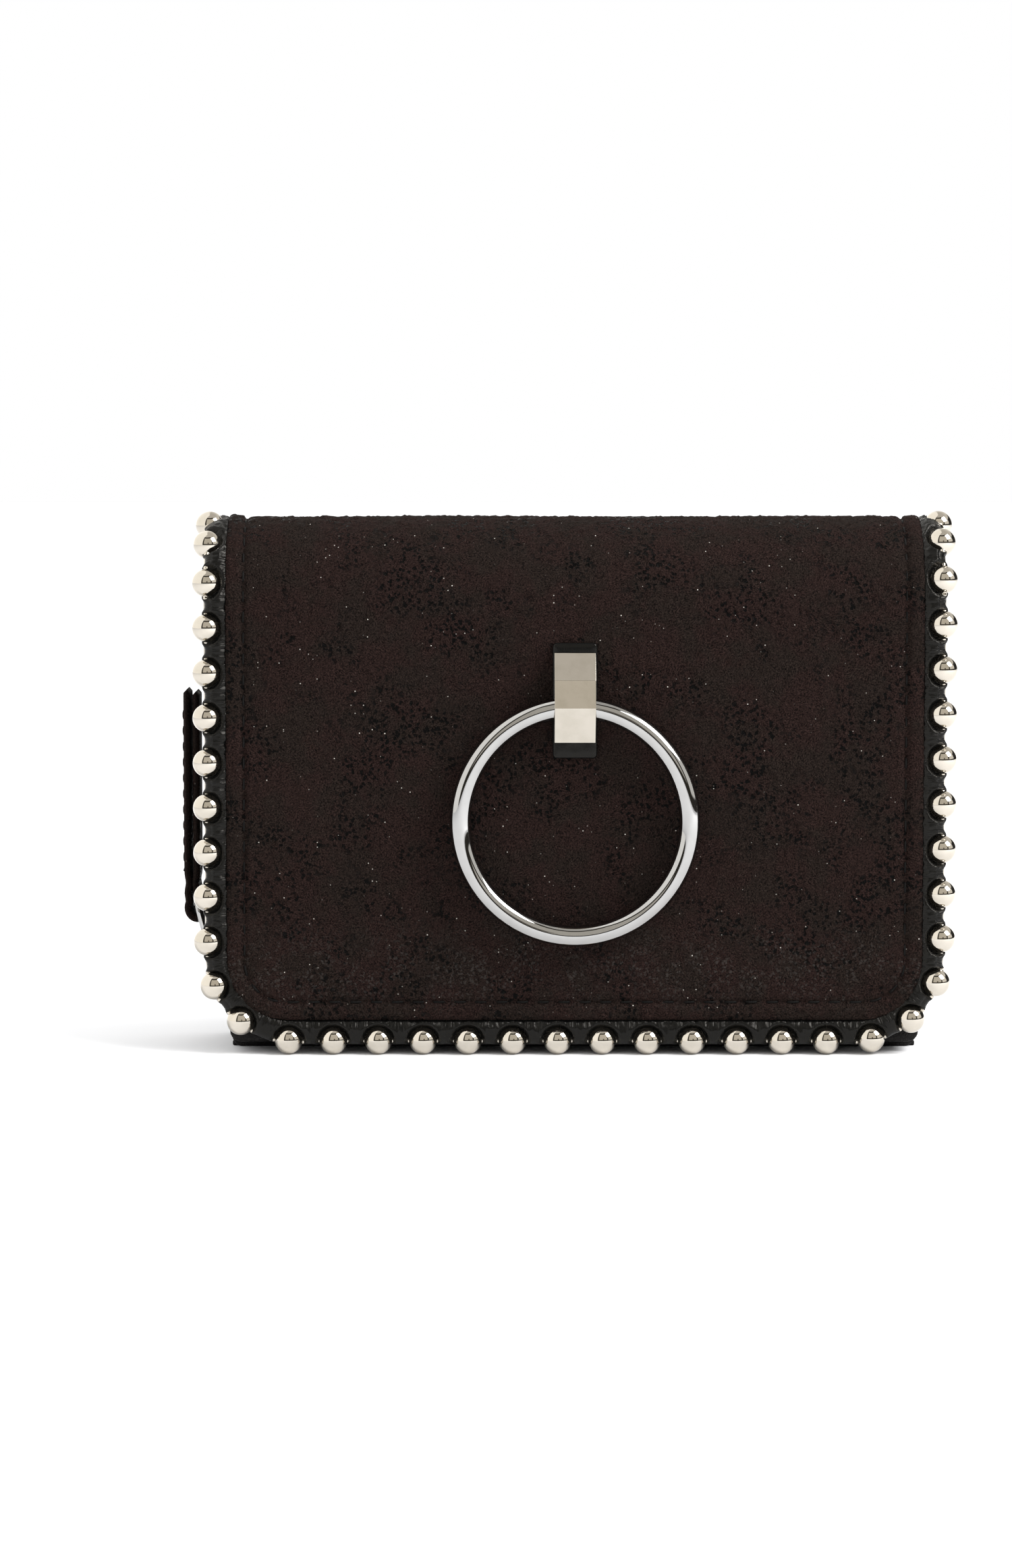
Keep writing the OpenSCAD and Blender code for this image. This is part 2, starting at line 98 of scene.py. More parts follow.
def bend_front(piece):
    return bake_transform(piece)


def bend_rear(piece):
    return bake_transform(piece)


# ---------------------------------------------------------------- camera, light and floor

CAMERA_X = -10.2 * MM
CAMERA_Z = 101.25 * MM
CAMERA_DISTANCE = 0.7
AIM_Z = 40.55 * MM
FIELD_HEIGHT = 232.4 * MM
SENSOR = 36


def new_object(name, data):
    thing = bpy.data.objects.new(name, data)
    bpy.context.scene.collection.objects.link(thing)
    return thing


def aim_at(thing, location, target):
    """Puts a camera or a light in its place, turned to its target, and gives the distance."""
    thing.location = location
    sight = Vector(target) - thing.location
    thing.rotation_mode = "QUATERNION"
    thing.rotation_quaternion = sight.to_track_quat("-Z", "Y")
    return sight.length


def add_camera():
    data = bpy.data.cameras.new("camera")
    camera = new_object("camera", data)
    location = (CAMERA_X, -ARCH_R - CAMERA_DISTANCE, CAMERA_Z)
    distance = aim_at(camera, location, (CAMERA_X, -ARCH_R, AIM_Z))
    data.sensor_width = SENSOR
    data.lens = SENSOR * distance / FIELD_HEIGHT
    data.clip_start = 0.01
    data.clip_end = 20
    bpy.context.scene.camera = camera


def add_area_light(name, location, aim, size, power):
    data = bpy.data.lights.new(name, "AREA")
    data.shape = "RECTANGLE"
    data.size, data.size_y = size
    data.energy = power
    aim_at(new_object(name, data), location, aim)


# ---------------------------------------------------------------- node helpers


def add(tree, kind, inputs=None, output=0, **settings):
    """Adds a node with its settings and with values or links on its inputs, and gives one output."""
    node = tree.nodes.new("ShaderNode" + kind)
    for key, value in settings.items():
        setattr(node, key, value)
    for key, value in (inputs or {}).items():
        if isinstance(value, bpy.types.NodeSocket):
            tree.links.new(value, node.inputs[key])
        else:
            node.inputs[key].default_value = value
    return node.outputs[output]


def calc(tree, operation, a, b=0.0, c=0.0):
    return add(tree, "Math", {0: a, 1: b, 2: c}, operation=operation)


def times(tree, a, b):
    return calc(tree, "MULTIPLY", a, b)


def smooth(tree, value, low, high):
    """0 below low and 1 above high, smoothly between."""
    inputs = {"Value": value, "From Min": low, "From Max": high}
    return add(tree, "MapRange", inputs, interpolation_type="SMOOTHSTEP")


def between(tree, value, low, high, soft):
    """1 between low and high, 0 outside, with soft edges."""
    rise = smooth(tree, value, low - soft, low + soft)
    fall = smooth(tree, value, high + soft, high - soft)
    return times(tree, rise, fall)


def mix(tree, factor, a, b):
    """Mixes two colours."""
    mixer = tree.nodes.new("ShaderNodeMix")
    mixer.data_type = "RGBA"
    for socket, value in ((mixer.inputs[0], factor), (mixer.inputs[6], a), (mixer.inputs[7], b)):
        if isinstance(value, bpy.types.NodeSocket):
            tree.links.new(value, socket)
        elif socket.type == "RGBA":
            socket.default_value = (*value, 1)
        else:
            socket.default_value = value
    return mixer.outputs[2]


def noise(tree, place, scale, detail=2.0, roughness=0.5, distortion=0.0):
    inputs = {"Vector": place, "Scale": scale, "Detail": detail}
    inputs.update({"Roughness": roughness, "Distortion": distortion})
    return add(tree, "TexNoise", inputs)


def stretched(tree, place, angle, along, across, shift=(0, 0, 0)):
    """Coordinates turned by an angle and scaled, for a pattern that is longer one way."""
    inputs = {"Vector": place, "Rotation": (0, 0, angle)}
    inputs.update({"Scale": (along, across, 1), "Location": shift})
    return add(tree, "Mapping", inputs, vector_type="TEXTURE")


def cells(tree, place, scale, feature="F1", output="Distance"):
    inputs = {"Vector": place, "Scale": scale}
    return add(tree, "TexVoronoi", inputs, output=output, feature=feature)


def bump(tree, height, distance, strength=1.0):
    return add(tree, "Bump", {"Height": height, "Distance": distance, "Strength": strength})


def start_material(name):
    material = bpy.data.materials.new(name)
    material.use_nodes = True
    tree = material.node_tree
    return material, tree, tree.nodes["Principled BSDF"]


def flat_place(tree):
    """The place on the flat-cut sheet, in millimetres."""
    return add(tree, "UVMap", uv_map="flat")


def row_place(tree):
    """The place in the row frame, in millimetres."""
    place = add(tree, "TexCoord", output="Object")
    return add(tree, "VectorMath", {0: place, "Scale": 1 / MM}, operation="SCALE")


def connect(tree, shader, **links):
    """Links node outputs to the shader's sockets, and sets plain values on them."""
    for name, value in links.items():
        socket = shader.inputs[name.replace("_", " ")]
        if isinstance(value, bpy.types.NodeSocket):
            tree.links.new(value, socket)
        else:
            socket.default_value = value


# ---------------------------------------------------------------- materials


def suede_material(name, place_of):
    """Brown-black suede: a short nap, patches of dark specks, a crackled print and painted highlights for
    the glints of foil flecks.
    """
    material, tree, shader = start_material(name)
    place = place_of(tree)

    # nap: short strokes in three directions that take turns
    strokes = []
    for angle, shift in ((0.35, (3, 7, 0)), (1.4, (11, 2, 0)), (2.5, (5, 13, 0))):
        lie = stretched(tree, place, angle, 0.27, 0.2, shift)
        strokes.append(noise(tree, lie, 1.0, 2.5, 0.62, 0.7))
    turn = noise(tree, place, 0.22, 1.0)
    turn_more = noise(tree, stretched(tree, place, 0.9, 1, 1, (31, 17, 5)), 0.3, 1.0)
    first = add(tree, "Mix", {0: smooth(tree, turn, 0.42, 0.58), 2: strokes[0], 3: strokes[1]})
    nap = add(tree, "Mix", {0: smooth(tree, turn_more, 0.48, 0.62), 2: first, 3: strokes[2]})
    nap_light = smooth(tree, nap, 0.32, 0.71)

    # brown and grey patches
    patch = times(tree, smooth(tree, noise(tree, place, 0.13, 3.0, 0.6), 0.42, 0.6), 0.6)
    brown = mix(tree, nap_light, (0.0024, 0.0012, 0.001), (0.0262, 0.0148, 0.0126))
    grey = mix(tree, nap_light, (0.0019, 0.0014, 0.001), (0.0186, 0.0148, 0.0118))
    ground = mix(tree, patch, brown, grey)

    # dark specks where the pile has parted, in patches
    wobble = add(tree, "TexNoise", {"Vector": place, "Scale": 1.7, "Detail": 2.0}, output="Color")
    shaken = add(tree, "VectorMath", {0: wobble, 1: (0.9, 0.9, 0), 2: place}, operation="MULTIPLY_ADD")
    speck = smooth(tree, cells(tree, shaken, 1.45), 0.44, 0.28)
    area = stretched(tree, place, 0.4, 1, 1, (9, 41, 0))
    worn = smooth(tree, noise(tree, area, 0.085, 2.5, 0.65), 0.46, 0.57)
    speck = times(tree, speck, worn)
    ground = mix(tree, speck, ground, (0.0007, 0.0006, 0.0005))

    # a crackled print along the lower edge
    split = add(tree, "SeparateXYZ", {0: place}, output="Y")
    low_band = between(tree, split, 8.5, 17.5, 5.0)
    broken = smooth(tree, noise(tree, place, 0.16, 2.0, 0.6), 0.36, 0.56)
    low_band = times(tree, low_band, broken)
    plates = smooth(tree, cells(tree, shaken, 1.9), 0.5, 0.12)
    print_light = times(tree, plates, times(tree, low_band, 0.75))
    ground = mix(tree, print_light, ground, (0.036, 0.031, 0.028))

    # painted highlights: bright spots in the base colour stand in for glints of foil flecks, a few in
    # every square centimetre, more in clusters and along the lower seam
    draw = cells(tree, place, 1.6, output="Color")
    chance = add(tree, "SeparateColor", {0: draw}, output="Red")
    strength = add(tree, "SeparateColor", {0: draw}, output="Green")
    painted_glint_near = smooth(tree, cells(tree, place, 1.6), 0.19, 0.06)
    area = stretched(tree, place, 0.1, 1, 1, (2, 3, 8))
    painted_glint_zone = smooth(tree, noise(tree, area, 0.11, 2.0), 0.42, 0.68)
    seam = times(tree, between(tree, split, 7.3, 8.9, 0.3), 0.19)
    limit = calc(tree, "SUBTRACT", calc(tree, "MULTIPLY_ADD", painted_glint_zone, -0.09, 0.95), seam)
    painted_glint = times(tree, calc(tree, "GREATER_THAN", chance, limit), painted_glint_near)
    painted_glint = times(tree, painted_glint, calc(tree, "POWER", strength, 1.5))
    # the glints' pale colour is a painted highlight mixed into the base colour
    ground = mix(tree, painted_glint, ground, (0.62, 0.59, 0.53))

    rough = add(tree, "Mix", {0: calc(tree, "MAXIMUM", speck, painted_glint), 2: 0.86, 3: 0.3})
    height = calc(tree, "SUBTRACT", nap, times(tree, speck, 1.2))
    height = calc(tree, "ADD", height, times(tree, print_light, 0.4))
    connect(tree, shader, Base_Color=ground, Roughness=rough, Normal=bump(tree, height, 0.16 * MM))
    connect(tree, shader, Specular_IOR_Level=0.05, Sheen_Weight=0.006, Sheen_Roughness=0.4)
    connect(tree, shader, Sheen_Tint=(1.0, 0.8, 0.72, 1))
    return material


def piping_material(name, place_of, wrinkle):
    """Glossy black leather with fine creases across the roll, as deep as wrinkle in millimetres."""
    material, tree, shader = start_material(name)
    place = place_of(tree)
    crease = noise(tree, stretched(tree, place, 0, 0.45, 1.3), 1.0, 3.0, 0.6, 0.6)
    grain = cells(tree, place, 3.2)
    tone = noise(tree, place, 0.5, 2.0)
    colour = mix(tree, tone, (0.0015, 0.0015, 0.0015), (0.0045, 0.0046, 0.0044))
    rough = add(tree, "MapRange", {"Value": crease, "To Min": 0.14, "To Max": 0.34})
    height = calc(tree, "MULTIPLY_ADD", grain, 0.18, crease)
    connect(tree, shader, Base_Color=colour, Roughness=rough, Normal=bump(tree, height, wrinkle * MM))
    connect(tree, shader, Specular_IOR_Level=0.17, Specular_Tint=(1.0, 0.95, 0.88, 1))
    return material


def lining_material(name, place_of):
    """Matt black synthetic leather with a pebble grain."""
    material, tree, shader = start_material(name)
    place = place_of(tree)
    pebble = smooth(tree, cells(tree, place, 1.9, "DISTANCE_TO_EDGE"), 0.0, 0.22)
    fine = noise(tree, place, 5.0, 2.0)
    tone = noise(tree, place, 0.09, 3.0)
    light = mix(tree, pebble, (0.0032, 0.0028, 0.0026), (0.0075, 0.0066, 0.0062))
    colour = mix(tree, times(tree, tone, 0.5), light, (0.0105, 0.0093, 0.0087))
    rough = add(tree, "MapRange", {"Value": pebble, "To Min": 0.62, "To Max": 0.46})
    height = calc(tree, "MULTIPLY_ADD", fine, 0.2, pebble)
    connect(tree, shader, Base_Color=colour, Roughness=rough, Normal=bump(tree, height, 0.035 * MM))
    connect(tree, shader, Specular_IOR_Level=0.15)
    return material


def board_material():
    """Leatherboard: pressed brown fibres."""
    material, tree, shader = start_material("board")
    place = row_place(tree)
    fibre = noise(tree, stretched(tree, place, 0.5, 1.6, 0.3, (1, 2, 3)), 1.0, 4.0, 0.7)
    colour = mix(tree, fibre, (0.16, 0.115, 0.075), (0.36, 0.28, 0.2))
    connect(tree, shader, Base_Color=colour, Roughness=0.85, Normal=bump(tree, fibre, 0.08 * MM))
    return material


def metal_material(name, colour, dull, rough_low, rough_high, marks):
    """Plated metal with a faint cloudiness and fine wipe marks."""
    material, tree, shader = start_material(name)
    place = row_place(tree)
    cloud = noise(tree, place, 0.35, 3.0, 0.6)
    wipe = noise(tree, stretched(tree, place, 0.8, 3.0, 0.25, (4, 1, 6)), 1.0, 3.0, 0.7)
    tint = mix(tree, smooth(tree, cloud, 0.35, 0.75), colour, dull)
    rough = add(tree, "MapRange", {"Value": wipe, "To Min": rough_low, "To Max": rough_high})
    relief = bump(tree, wipe, marks * MM, 0.3)
    connect(tree, shader, Base_Color=tint, Roughness=rough, Normal=relief, Metallic=1.0)
    return material


def thread_material():
    """Black twisted sewing thread."""
    material, tree, shader = start_material("thread")
    place = row_place(tree)
    ply = noise(tree, stretched(tree, place, 0.7, 0.5, 0.12), 1.0, 1.0)
    colour = mix(tree, ply, (0.0012, 0.001, 0.0009), (0.006, 0.0052, 0.0047))
    connect(tree, shader, Base_Color=colour, Normal=bump(tree, ply, 0.08 * MM))
    connect(tree, shader, Roughness=0.6, Specular_IOR_Level=0.12)
    return material


def tape_material():
    """Black zip tape in a herringbone weave."""
    material, tree, shader = start_material("zip_tape")
    place = row_place(tree)
    slanted = stretched(tree, place, 0.7, 0.5, 0.5)
    first = add(tree, "TexWave", {"Vector": slanted, "Scale": 1.0})
    turned = add(tree, "VectorRotate", {"Vector": place, "Angle": 1.57}, rotation_type="X_AXIS")
    second = add(tree, "TexWave", {"Vector": turned, "Scale": 1.6})
    weave = times(tree, first, second)
    colour = mix(tree, weave, (0.004, 0.004, 0.0042), (0.02, 0.02, 0.021))
    connect(tree, shader, Base_Color=colour, Roughness=0.8, Normal=bump(tree, weave, 0.1 * MM))
    return material


def floor_material():
    """Plain pale floor with a hardly visible mottle."""
    material, tree, shader = start_material("floor")
    place = add(tree, "TexCoord", output="Object")
    mottle = noise(tree, place, 9.0, 3.0)
    colour = mix(tree, mottle, (0.93, 0.93, 0.935), (0.945, 0.945, 0.95))
    connect(tree, shader, Base_Color=colour, Roughness=0.9, Specular_IOR_Level=0.1)
    return material


SUEDE = suede_material("suede", flat_place)
SUEDE_BODY = suede_material("suede_body", row_place)
PIPING = piping_material("piping_leather", flat_place, 0.15)
STRIP_LEATHER = piping_material("strip_leather", row_place, 0.02)
LINING = lining_material("lining", flat_place)
LINING_BODY = lining_material("lining_body", row_place)
BOARD = board_material()
# colour, cloudy colour, roughness from and to, depth of the wipe marks in millimetres
NICKEL = metal_material("nickel", (0.55, 0.51, 0.448), (0.5, 0.463, 0.4), 0.03, 0.08, 0.004)
CHROME = metal_material("chrome", (0.4, 0.397, 0.392), (0.375, 0.372, 0.367), 0.025, 0.06, 0.003)
ZIP_METAL = metal_material("zip_metal", (0.72, 0.7, 0.66), (0.6, 0.57, 0.52), 0.12, 0.28, 0.01)
STEEL = metal_material("plain_steel", (0.5, 0.5, 0.5), (0.42, 0.41, 0.4), 0.25, 0.45, 0.02)
THREAD = thread_material()
TAPE = tape_material()

# ---------------------------------------------------------------- mesh helpers


def mesh_piece(name, points, faces, material, flat=None, is_smooth=True):
    """A mesh object from points and faces. flat gives each point's place on the flat-cut sheet."""
    mesh = bpy.data.meshes.new(name)
    mesh.from_pydata([tuple(p) for p in points], [], faces)
    mesh.update()
    if flat is not None:
        layer = mesh.uv_layers.new(name="flat")
        corner = np.empty(len(mesh.loops), dtype=np.int32)
        mesh.loops.foreach_get("vertex_index", corner)
        layer.data.foreach_set("uv", (np.asarray(flat)[corner] / MM).astype(np.float32).ravel())
    work = bmesh.new()
    work.from_mesh(mesh)
    bmesh.ops.recalc_face_normals(work, faces=work.faces)
    work.to_mesh(mesh)
    work.free()
    mesh.polygons.foreach_set("use_smooth", [is_smooth] * len(mesh.polygons))
    mesh.materials.append(material)
    return new_object(name, mesh)


def tube_faces(rings, sides, base=0, closed=False):
    """Faces of a tube of rings of points, closed on itself or with a cap at each end."""
    faces = []
    for r in range(rings if closed else rings - 1):
        near = base + r * sides
        far = base + (r + 1) % rings * sides
        for k in range(sides):
            n = (k + 1) % sides
            faces.append((near + k, near + n, far + n, far + k))
    if not closed:
        last = base + (rings - 1) * sides
        faces += [tuple(range(base, base + sides)), tuple(range(last, last + sides))]
    return faces


def circle(sides):
    """Cosine and sine at even steps round a circle."""
    turns = [2 * math.pi * k / sides for k in range(sides)]
    return [(math.cos(a), math.sin(a)) for a in turns]


def path_marks(path):
    """Length along a path up to each of its points."""
    return np.concatenate([[0], np.cumsum(np.hypot(*np.diff(path, axis=0).T))])


def heading(path, i):
    """Direction of a path at its point i."""
    ahead = path[min(i + 1, len(path) - 1)] - path[max(i - 1, 0)]
    return ahead / np.linalg.norm(ahead)


def ridge(value, middle, width):
    """1 at the middle, falling to 0 on both sides like a bell."""
    return np.exp(-(((value - middle) / width) ** 2))


def value_noise(points, size, seed):
    """Smooth noise from -1 to 1 over cells of the given size."""
    table = np.random.RandomState(seed).uniform(-1, 1, 8192)
    spot = np.asarray(points, float) / size
    cell = np.floor(spot).astype(np.int64)
    part = spot - cell
    part = part * part * (3 - 2 * part)
    total = np.zeros(len(spot))
    keys = (73856093, 19349663, 83492791)[: spot.shape[1]]
    for corner in np.ndindex(*(2,) * spot.shape[1]):
        mixed = np.zeros(len(spot), np.int64)
        weight = np.ones(len(spot))
        for k, bit in enumerate(corner):
            mixed ^= (cell[:, k] + bit) * keys[k]
            weight *= part[:, k] if bit else 1 - part[:, k]
        total += weight * table[mixed % 8192]
    return total


def smoothstep(value, low, high):
    t = np.clip((value - low) / (high - low), 0, 1)
    return t * t * (3 - 2 * t)


def corner_rows(low, half, corner, turns):
    """Rows round a sheet's lower corners: height, half width, and the edge's outward direction."""
    rows = []
    for k in range(turns):
        a = k / turns * math.pi / 2
        width = half - corner * (1 - math.sin(a))
        rows.append((low + corner * (1 - math.cos(a)), width, math.sin(a), -math.cos(a)))
    return rows


def sheet_rows(low, high, half, low_corner, high_corner, step, turns):
    """Rows of a sheet with round corners, each corner in the given number of turns."""
    rows = corner_rows(low, half, low_corner, turns)
    start, stop = low + low_corner, high - high_corner
    count = max(1, round((stop - start) / step))
    for k in range(count + 1):
        rows.append((start + (stop - start) * k / count, half, 1.0, 0.0))
    if high_corner > 0:
        for v, width, nx, nv in reversed(corner_rows(0.0, half, high_corner, turns)):
            rows.append((high - v, width, nx, -nv))
    return rows


def sheet_shell(name, material, place, half, low, high, thickness, low_corner, step,
                high_corner=0.0, roll=0.4 * MM, relief=None, fine_corner=None):
    """A closed sheet with round edges.

    place(x, v, depth) puts a point of the flat-cut sheet in the row frame. With high_corner 0 the
    upper end is a plain cut, where it meets the next sheet.
    """
    closed = high_corner > 0
    low_turn = max(low_corner - roll, 0.05 * MM)
    high_turn = max(high_corner - roll, 0.05 * MM) if closed else 0.0
    top = high - roll if closed else high
    turns = fine_corner or (14 if low_turn > 4 * MM else 6)
    rows = sheet_rows(low + roll, top, half - roll, low_turn, high_turn, step, turns)
    columns = max(2, round(2 * half / step))
    count = columns + 1
    across = np.linspace(-1, 1, count)
    flat = [(w * u, v) for v, w, _, _ in rows for u in across]
    depth = [0.0] * len(flat)
    faces = []
    for r in range(len(rows) - 1):
        for c in range(columns):
            a = r * count + c
            faces.append((a, a + 1, a + count + 1, a + count))

    # the border, anticlockwise from the upper left corner down, and each point's outward direction
    border = [(r * count, -rows[r][2], rows[r][3]) for r in range(len(rows) - 1, 0, -1)]
    border += [(c, 0.0, -1.0) for c in range(count)]
    border += [(r * count + columns, rows[r][2], rows[r][3]) for r in range(1, len(rows))]
    if closed:
        last = (len(rows) - 1) * count
        border += [(last + c, 0.0, 1.0) for c in range(columns - 1, 0, -1)]
        border[0] = (last, 0.0, 1.0)
        border[len(rows) - 1 + count + len(rows) - 2] = (last + columns, 0.0, 1.0)
    ring = [b[0] for b in border]
    spans = len(border) if closed else len(border) - 1
    rolls = 4
    levels = [(k / rolls * math.pi / 2) for k in range(1, rolls + 1)] + [None]
    for level in levels:
        fresh = []
        for index, nx, nv in border:
            out = roll * (math.sin(level) if level else 1)
            fresh.append(len(flat))
            flat.append((flat[index][0] + nx * out, flat[index][1] + nv * out))
            depth.append(roll * (1 - math.cos(level)) if level else thickness)
        for k in range(spans):
            n = (k + 1) % len(ring)
            faces.append((ring[k], fresh[k], fresh[n], ring[n]))
        ring = fresh

    # the back, in long strips from side to side
    side = len(rows) - 1
    left = [ring[side - 1 - k] for k in range(side)]
    right = [ring[side + count + k] for k in range(side)]
    faces.append(tuple(ring[side:side + count] + [right[0], left[0]]))
    for k in range(side - 1):
        faces.append((left[k], right[k], right[k + 1], left[k + 1]))
    if closed:
        faces.append(tuple([left[-1]] + [right[-1]] + ring[side + count + side:]))
    else:
        rim_left = [ring[0] - k * len(border) for k in range(rolls + 1)]
        rim_right = [ring[-1] - k * len(border) for k in range(rolls + 1)]
        crest = list(range((len(rows) - 1) * count, len(rows) * count))
        faces.append(tuple(rim_left + crest + rim_right[::-1]))

    flat = np.array(flat)
    depth = np.array(depth)
    if relief is not None:
        fade = 1 - smoothstep(depth, 0.0, thickness)
        depth = depth - relief(flat[:, 0], flat[:, 1]) * fade
    points = place(flat[:, 0], flat[:, 1], depth)
    return mesh_piece(name, points, faces, material, flat)


def wrapped(face_r, back_r, thickness):
    """Lays a sheet along the wallet's front, over the arch and down the back, between two radii."""

    def place(x, v, depth):
        r = face_r + (back_r - face_r) * depth / thickness
        a = np.clip((v - ARCH_Z) / ARCH_R, 0, math.pi)
        past = np.maximum(v - ARCH_Z - math.pi * ARCH_R, 0)
        below = np.minimum(v - ARCH_Z, 0)
        return np.stack([x, -r * np.cos(a), ARCH_Z + r * np.sin(a) + below - past], axis=1)

    return place


def upside_down(place, top):
    """The same place, with the sheet's heights counted down from top."""
    return lambda x, v, depth: place(x, top - v, depth)


def upright(face_y, back_y, thickness):
    """Stands a sheet upright across the wallet, with its face at face_y."""

    def place(x, v, depth):
        return np.stack([x, face_y + (back_y - face_y) * depth / thickness, v], axis=1)

    return place


def edge_distance(x, v, half, low, corner, high=None):
    """Distance from a sheet's edge inwards, with round lower corners."""
    inner_x = np.abs(x) - (half - corner)
    inner_v = (low + corner) - v
    outside = np.hypot(np.maximum(inner_x, 0), np.maximum(inner_v, 0))
    inside = np.minimum(np.maximum(inner_x, inner_v), 0)
    distance = corner - outside - inside
    if high is not None:
        distance = np.minimum(distance, high - v)
    return distance


def lower_corners(half, low, corner, steps):
    """Points round the lower corners of an outline, from the left side to the right."""
    left = [(-half + corner * (1 - math.cos(a)), low + corner * (1 - math.sin(a)))
            for a in np.linspace(0, math.pi / 2, steps)]
    return left + [(-x, z) for x, z in reversed(left)]


def edge_path(half, low, corner, inset, high):
    """Points along a line inside a sheet's edge, from the upper left down and round to the right."""
    x, turn = half - inset, max(corner - inset, 0.3 * MM)
    return np.array([(-x, high)] + lower_corners(x, low + inset, turn, 16) + [(x, high)])


def stitch_row(name, path, place, sink, pitch=3.1 * MM, length=2.0 * MM, radius=0.16 * MM):
    """Separate stitches along a path on the flat-cut sheet. sink is how deep the row lies."""
    marks = path_marks(path)
    count = int(marks[-1] // pitch)
    start = (marks[-1] - count * pitch + pitch - length) / 2
    sides, rings = 8, 7
    points, faces = [], []
    for k in range(count):
        along = start + k * pitch + np.linspace(0, length, rings)
        x = np.interp(along, marks, path[:, 0])
        v = np.interp(along, marks, path[:, 1])
        t = np.linspace(-1, 1, rings)
        depth = sink + 0.35 * MM * t ** 4
        middle = place(x, v, depth)
        lifted = place(x, v, depth - 0.1 * MM)
        for i in range(rings):
            ahead = heading(middle, i)
            up = lifted[i] - middle[i]
            up -= ahead * np.dot(up, ahead)
            up /= np.linalg.norm(up)
            side = np.cross(ahead, up)
            thick = radius * math.sqrt(max(1 - 0.75 * t[i] ** 6, 0.1))
            points += [middle[i] + thick * (c * side * 1.15 + s * up) for c, s in circle(sides)]
        faces += tube_faces(rings, sides, k * sides * rings)
    return mesh_piece(name, points, faces, THREAD)


# ---------------------------------------------------------------- outer suede


def suede_relief(half, low, corner, seed):
    """Height of the suede: a puffed edge, the sewn channel, a gentle swell and the nap."""

    def relief(x, v):
        distance = edge_distance(x, v, half, low, corner)
        puff = 0.2 * MM * np.sin(np.clip(distance / STITCH_INSET, 0, 1) * math.pi)
        channel = -0.42 * MM * ridge(distance, STITCH_INSET, 0.4 * MM)
        spot = np.stack([x, v], axis=1)
        swell = 0.07 * MM * value_noise(spot, 17 * MM, seed)
        swell += 0.03 * MM * value_noise(spot, 5 * MM, seed + 1)
        nap = 0.09 * MM * value_noise(spot, 0.7 * MM, seed + 2)
        nap += 0.09 * MM * value_noise(spot, 0.36 * MM, seed + 3)
        tuft = 0.34 * MM * np.maximum(value_noise(spot, 0.62 * MM, seed + 4) - 0.4, 0)
        return puff + channel + swell + nap + tuft

    return relief


def add_suede():
    step = 0.32 * MM
    over = wrapped(ARCH_R, SKIN_IN, SKIN_T)
    behind = upside_down(over, 2 * CREST)
    front = sheet_shell(
        "suede_front", SUEDE, over, SUEDE_HALF, FLAP_LOW, CREST, SKIN_T, SUEDE_CORNER, step,
        roll=0.62 * MM, fine_corner=40, relief=suede_relief(SUEDE_HALF, FLAP_LOW, SUEDE_CORNER, 3))
    rear = sheet_shell(
        "suede_rear", SUEDE, behind, SUEDE_HALF, back_low.z, CREST, SKIN_T, BACK_CORNER, step,
        roll=0.4 * MM, relief=suede_relief(SUEDE_HALF, back_low.z, BACK_CORNER, 3))
    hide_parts("flap_cover", "spine_cover")
    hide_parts("back_cover")
    path = edge_path(SUEDE_HALF, FLAP_LOW, SUEDE_CORNER, STITCH_INSET, CREST)
    front_thread = stitch_row("suede_stitches_front", path, over, 0.3 * MM)
    path = edge_path(SUEDE_HALF, back_low.z, BACK_CORNER, STITCH_INSET, CREST)
    rear_thread = stitch_row("suede_stitches_rear", path, behind, 0.3 * MM)
    for piece in (front, front_thread):
        bend_front(piece)
    for piece in (rear, rear_thread):
        bend_rear(piece)


# ---------------------------------------------------------------- board and lining inside the cover


def lining_relief(half, low, corner, magnet_z):
    """Height of a lining: a sewn edge and the round swelling over a magnet."""

    def relief(x, v):
        distance = edge_distance(x, v, half, low, corner)
        channel = -0.2 * MM * ridge(distance, STITCH_INSET, 0.4 * MM)
        disc = 1 - smoothstep(np.hypot(x, v - magnet_z), 5.7 * MM, 6.8 * MM)
        return channel + 0.16 * MM * disc

    return relief


def add_inner_layers():
    """Lining and leatherboard in two sheets each, which meet at the crest like the suede's."""
    magnet_low, magnet_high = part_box("flap_magnet")
    inset = 0.5 * MM
    half, low, corner = FLAP_HALF - inset, FLAP_LOW + inset, FLAP_CORNER - inset
    over = wrapped(LINING_IN, BOARD_IN, LINING_T)
    lining_front = sheet_shell(
        "lining_front", LINING, over, half, low, CREST, LINING_T, corner, 1.0 * MM, roll=0.3 * MM,
        relief=lining_relief(half, low, corner, (magnet_low.z + magnet_high.z) / 2))
    path = edge_path(half, low, corner, STITCH_INSET, CREST)
    lining_thread = stitch_row("lining_stitches_front", path, over, 0.12 * MM)
    rear_low, rear_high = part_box("back_lining")
    lining_rear = sheet_shell(
        "lining_rear", LINING, upside_down(over, 2 * CREST), rear_high.x, rear_low.z, CREST,
        LINING_T, BACK_CORNER, 1.5 * MM, roll=0.3 * MM)
    over = wrapped(SKIN_IN, BOARD_IN, BOARD_T)
    board_low, board_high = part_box("flap_stiffener")
    board_front = sheet_shell(
        "board_front", BOARD, over, board_high.x, board_low.z, CREST, BOARD_T, 4.5 * MM, 2.0 * MM,
        roll=0.2 * MM)
    board_rear = sheet_shell(
        "board_rear", BOARD, upside_down(over, 2 * CREST), board_high.x,
        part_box("back_stiffener")[0].z, CREST, BOARD_T, BACK_CORNER, 2.0 * MM, roll=0.2 * MM)
    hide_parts("flap_lining", "spine_lining")
    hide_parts("back_lining")
    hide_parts("flap_stiffener", "spine_stiffener")
    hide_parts("back_stiffener")
    bend_front(lining_front)
    bend_front(lining_thread)
    bend_rear(lining_rear)
    bend_front(board_front)
    bend_rear(board_rear)


# ---------------------------------------------------------------- ball chain and piping


